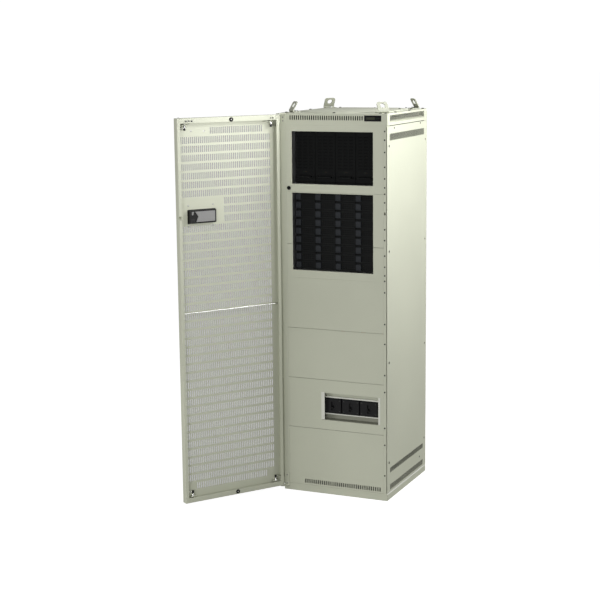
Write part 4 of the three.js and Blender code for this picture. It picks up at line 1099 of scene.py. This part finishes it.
world = bpy.data.worlds.new("studio")
bpy.context.scene.world = world
world.use_nodes = True
wn = world.node_tree
bg = wn.nodes["Background"]
bg.inputs["Color"].default_value = (1.0, 1.0, 1.0, 1)
bg.inputs["Strength"].default_value = 0.40
bg2 = wn.nodes.new("ShaderNodeBackground")
bg2.inputs["Color"].default_value = (1, 1, 1, 1)
bg2.inputs["Strength"].default_value = 1.05
lp = wn.nodes.new("ShaderNodeLightPath")
mx = wn.nodes.new("ShaderNodeMixShader")
wn.links.new(lp.outputs["Is Camera Ray"], mx.inputs["Fac"])
wn.links.new(bg.outputs["Background"], mx.inputs[1])
wn.links.new(bg2.outputs["Background"], mx.inputs[2])
wn.links.new(mx.outputs["Shader"], wn.nodes["World Output"].inputs["Surface"])


def area_light(name, loc, target, size, power, color=(1, 1, 1), size_y=None):
    l = bpy.data.lights.new(name, "AREA")
    l.energy = power
    l.color = color
    l.shape = "RECTANGLE"
    l.size = size
    l.size_y = size_y or size
    o = bpy.data.objects.new(name, l)
    o.location = loc
    o.rotation_mode = "QUATERNION"
    o.rotation_quaternion = (Vector(target) - Vector(loc)).to_track_quat("-Z", "Y")
    o.visible_camera = False
    bpy.context.scene.collection.objects.link(o)
    return o

def spot_light(name, loc, target, angle, power):
    l = bpy.data.lights.new(name, "SPOT")
    l.energy = power
    l.spot_size = math.radians(angle)
    l.spot_blend = 1.0
    l.shadow_soft_size = 0.25
    o = bpy.data.objects.new(name, l)
    o.location = loc
    o.rotation_mode = "QUATERNION"
    o.rotation_quaternion = (Vector(target) - Vector(loc)).to_track_quat("-Z", "Y")
    o.visible_camera = False
    bpy.context.scene.collection.objects.link(o)
    return o

area_light("soft_front", (1.0, -6.0, 1.2), (0, 0, 1.0), 2.0, 105.0)
area_light("soft_front_left", (-3.5, -4.0, 1.2), (0, 0, 1.0), 2.0, 50.0)
area_light("soft_rear_right", (4.5, 2.5, 1.2), (0.2, 0, 1.0), 2.0, 84.0)
area_light("key_high_right", (1.4, -0.2, 2.7), (0.2, -0.1, 1.4), 0.4, 27.5)
area_light("roof_soft", (0.0, 0.15, 3.4), (0.0, 0.1, 2.0), 0.6, 3.0)
area_light("key_level_right", (1.15, -0.05, 2.0), (0.29, 0.0, 1.8), 0.5, 3.8)
spot_light("door_fill_top", (2.5, -1.9, 2.15), (-0.46, -0.55, 1.95), 16.0, 255.0)
spot_light("low_fill", (-2.5, -3.5, 0.7), (-0.05, -0.3, 0.2), 26.0, 45.0)
spot_light("door_fill", (2.5, -1.9, 1.9), (-0.46, -0.55, 1.65), 30.0, 76.0)

cam_data = bpy.data.cameras.new("camera")
cam = bpy.data.objects.new("camera", cam_data)
bpy.context.scene.collection.objects.link(cam)
bpy.context.scene.camera = cam
cam_data.sensor_width = 36.0
cam_data.lens = 1453.76 / 600.0 * 36.0
cam_data.clip_start, cam_data.clip_end = 0.05, 500.0
az, el, rl = math.radians(24.08), math.radians(9.98), math.radians(-0.61)
bk = Vector((math.sin(az) * math.cos(el), -math.cos(az) * math.cos(el), math.sin(el)))
r0 = Vector((math.cos(az), math.sin(az), 0))
u0 = bk.cross(r0)
rt = math.cos(rl) * r0 + math.sin(rl) * u0
up = -math.sin(rl) * r0 + math.cos(rl) * u0
cam.matrix_world = Matrix(((rt.x, up.x, bk.x, 2.85044), (rt.y, up.y, bk.y, -7.10903), (rt.z, up.z, bk.z, 2.34439), (0, 0, 0, 1)))

vs = bpy.context.scene.view_settings
vs.view_transform = "Standard"
vs.look = "None"
vs.exposure = 0.0
vs.gamma = 1.0
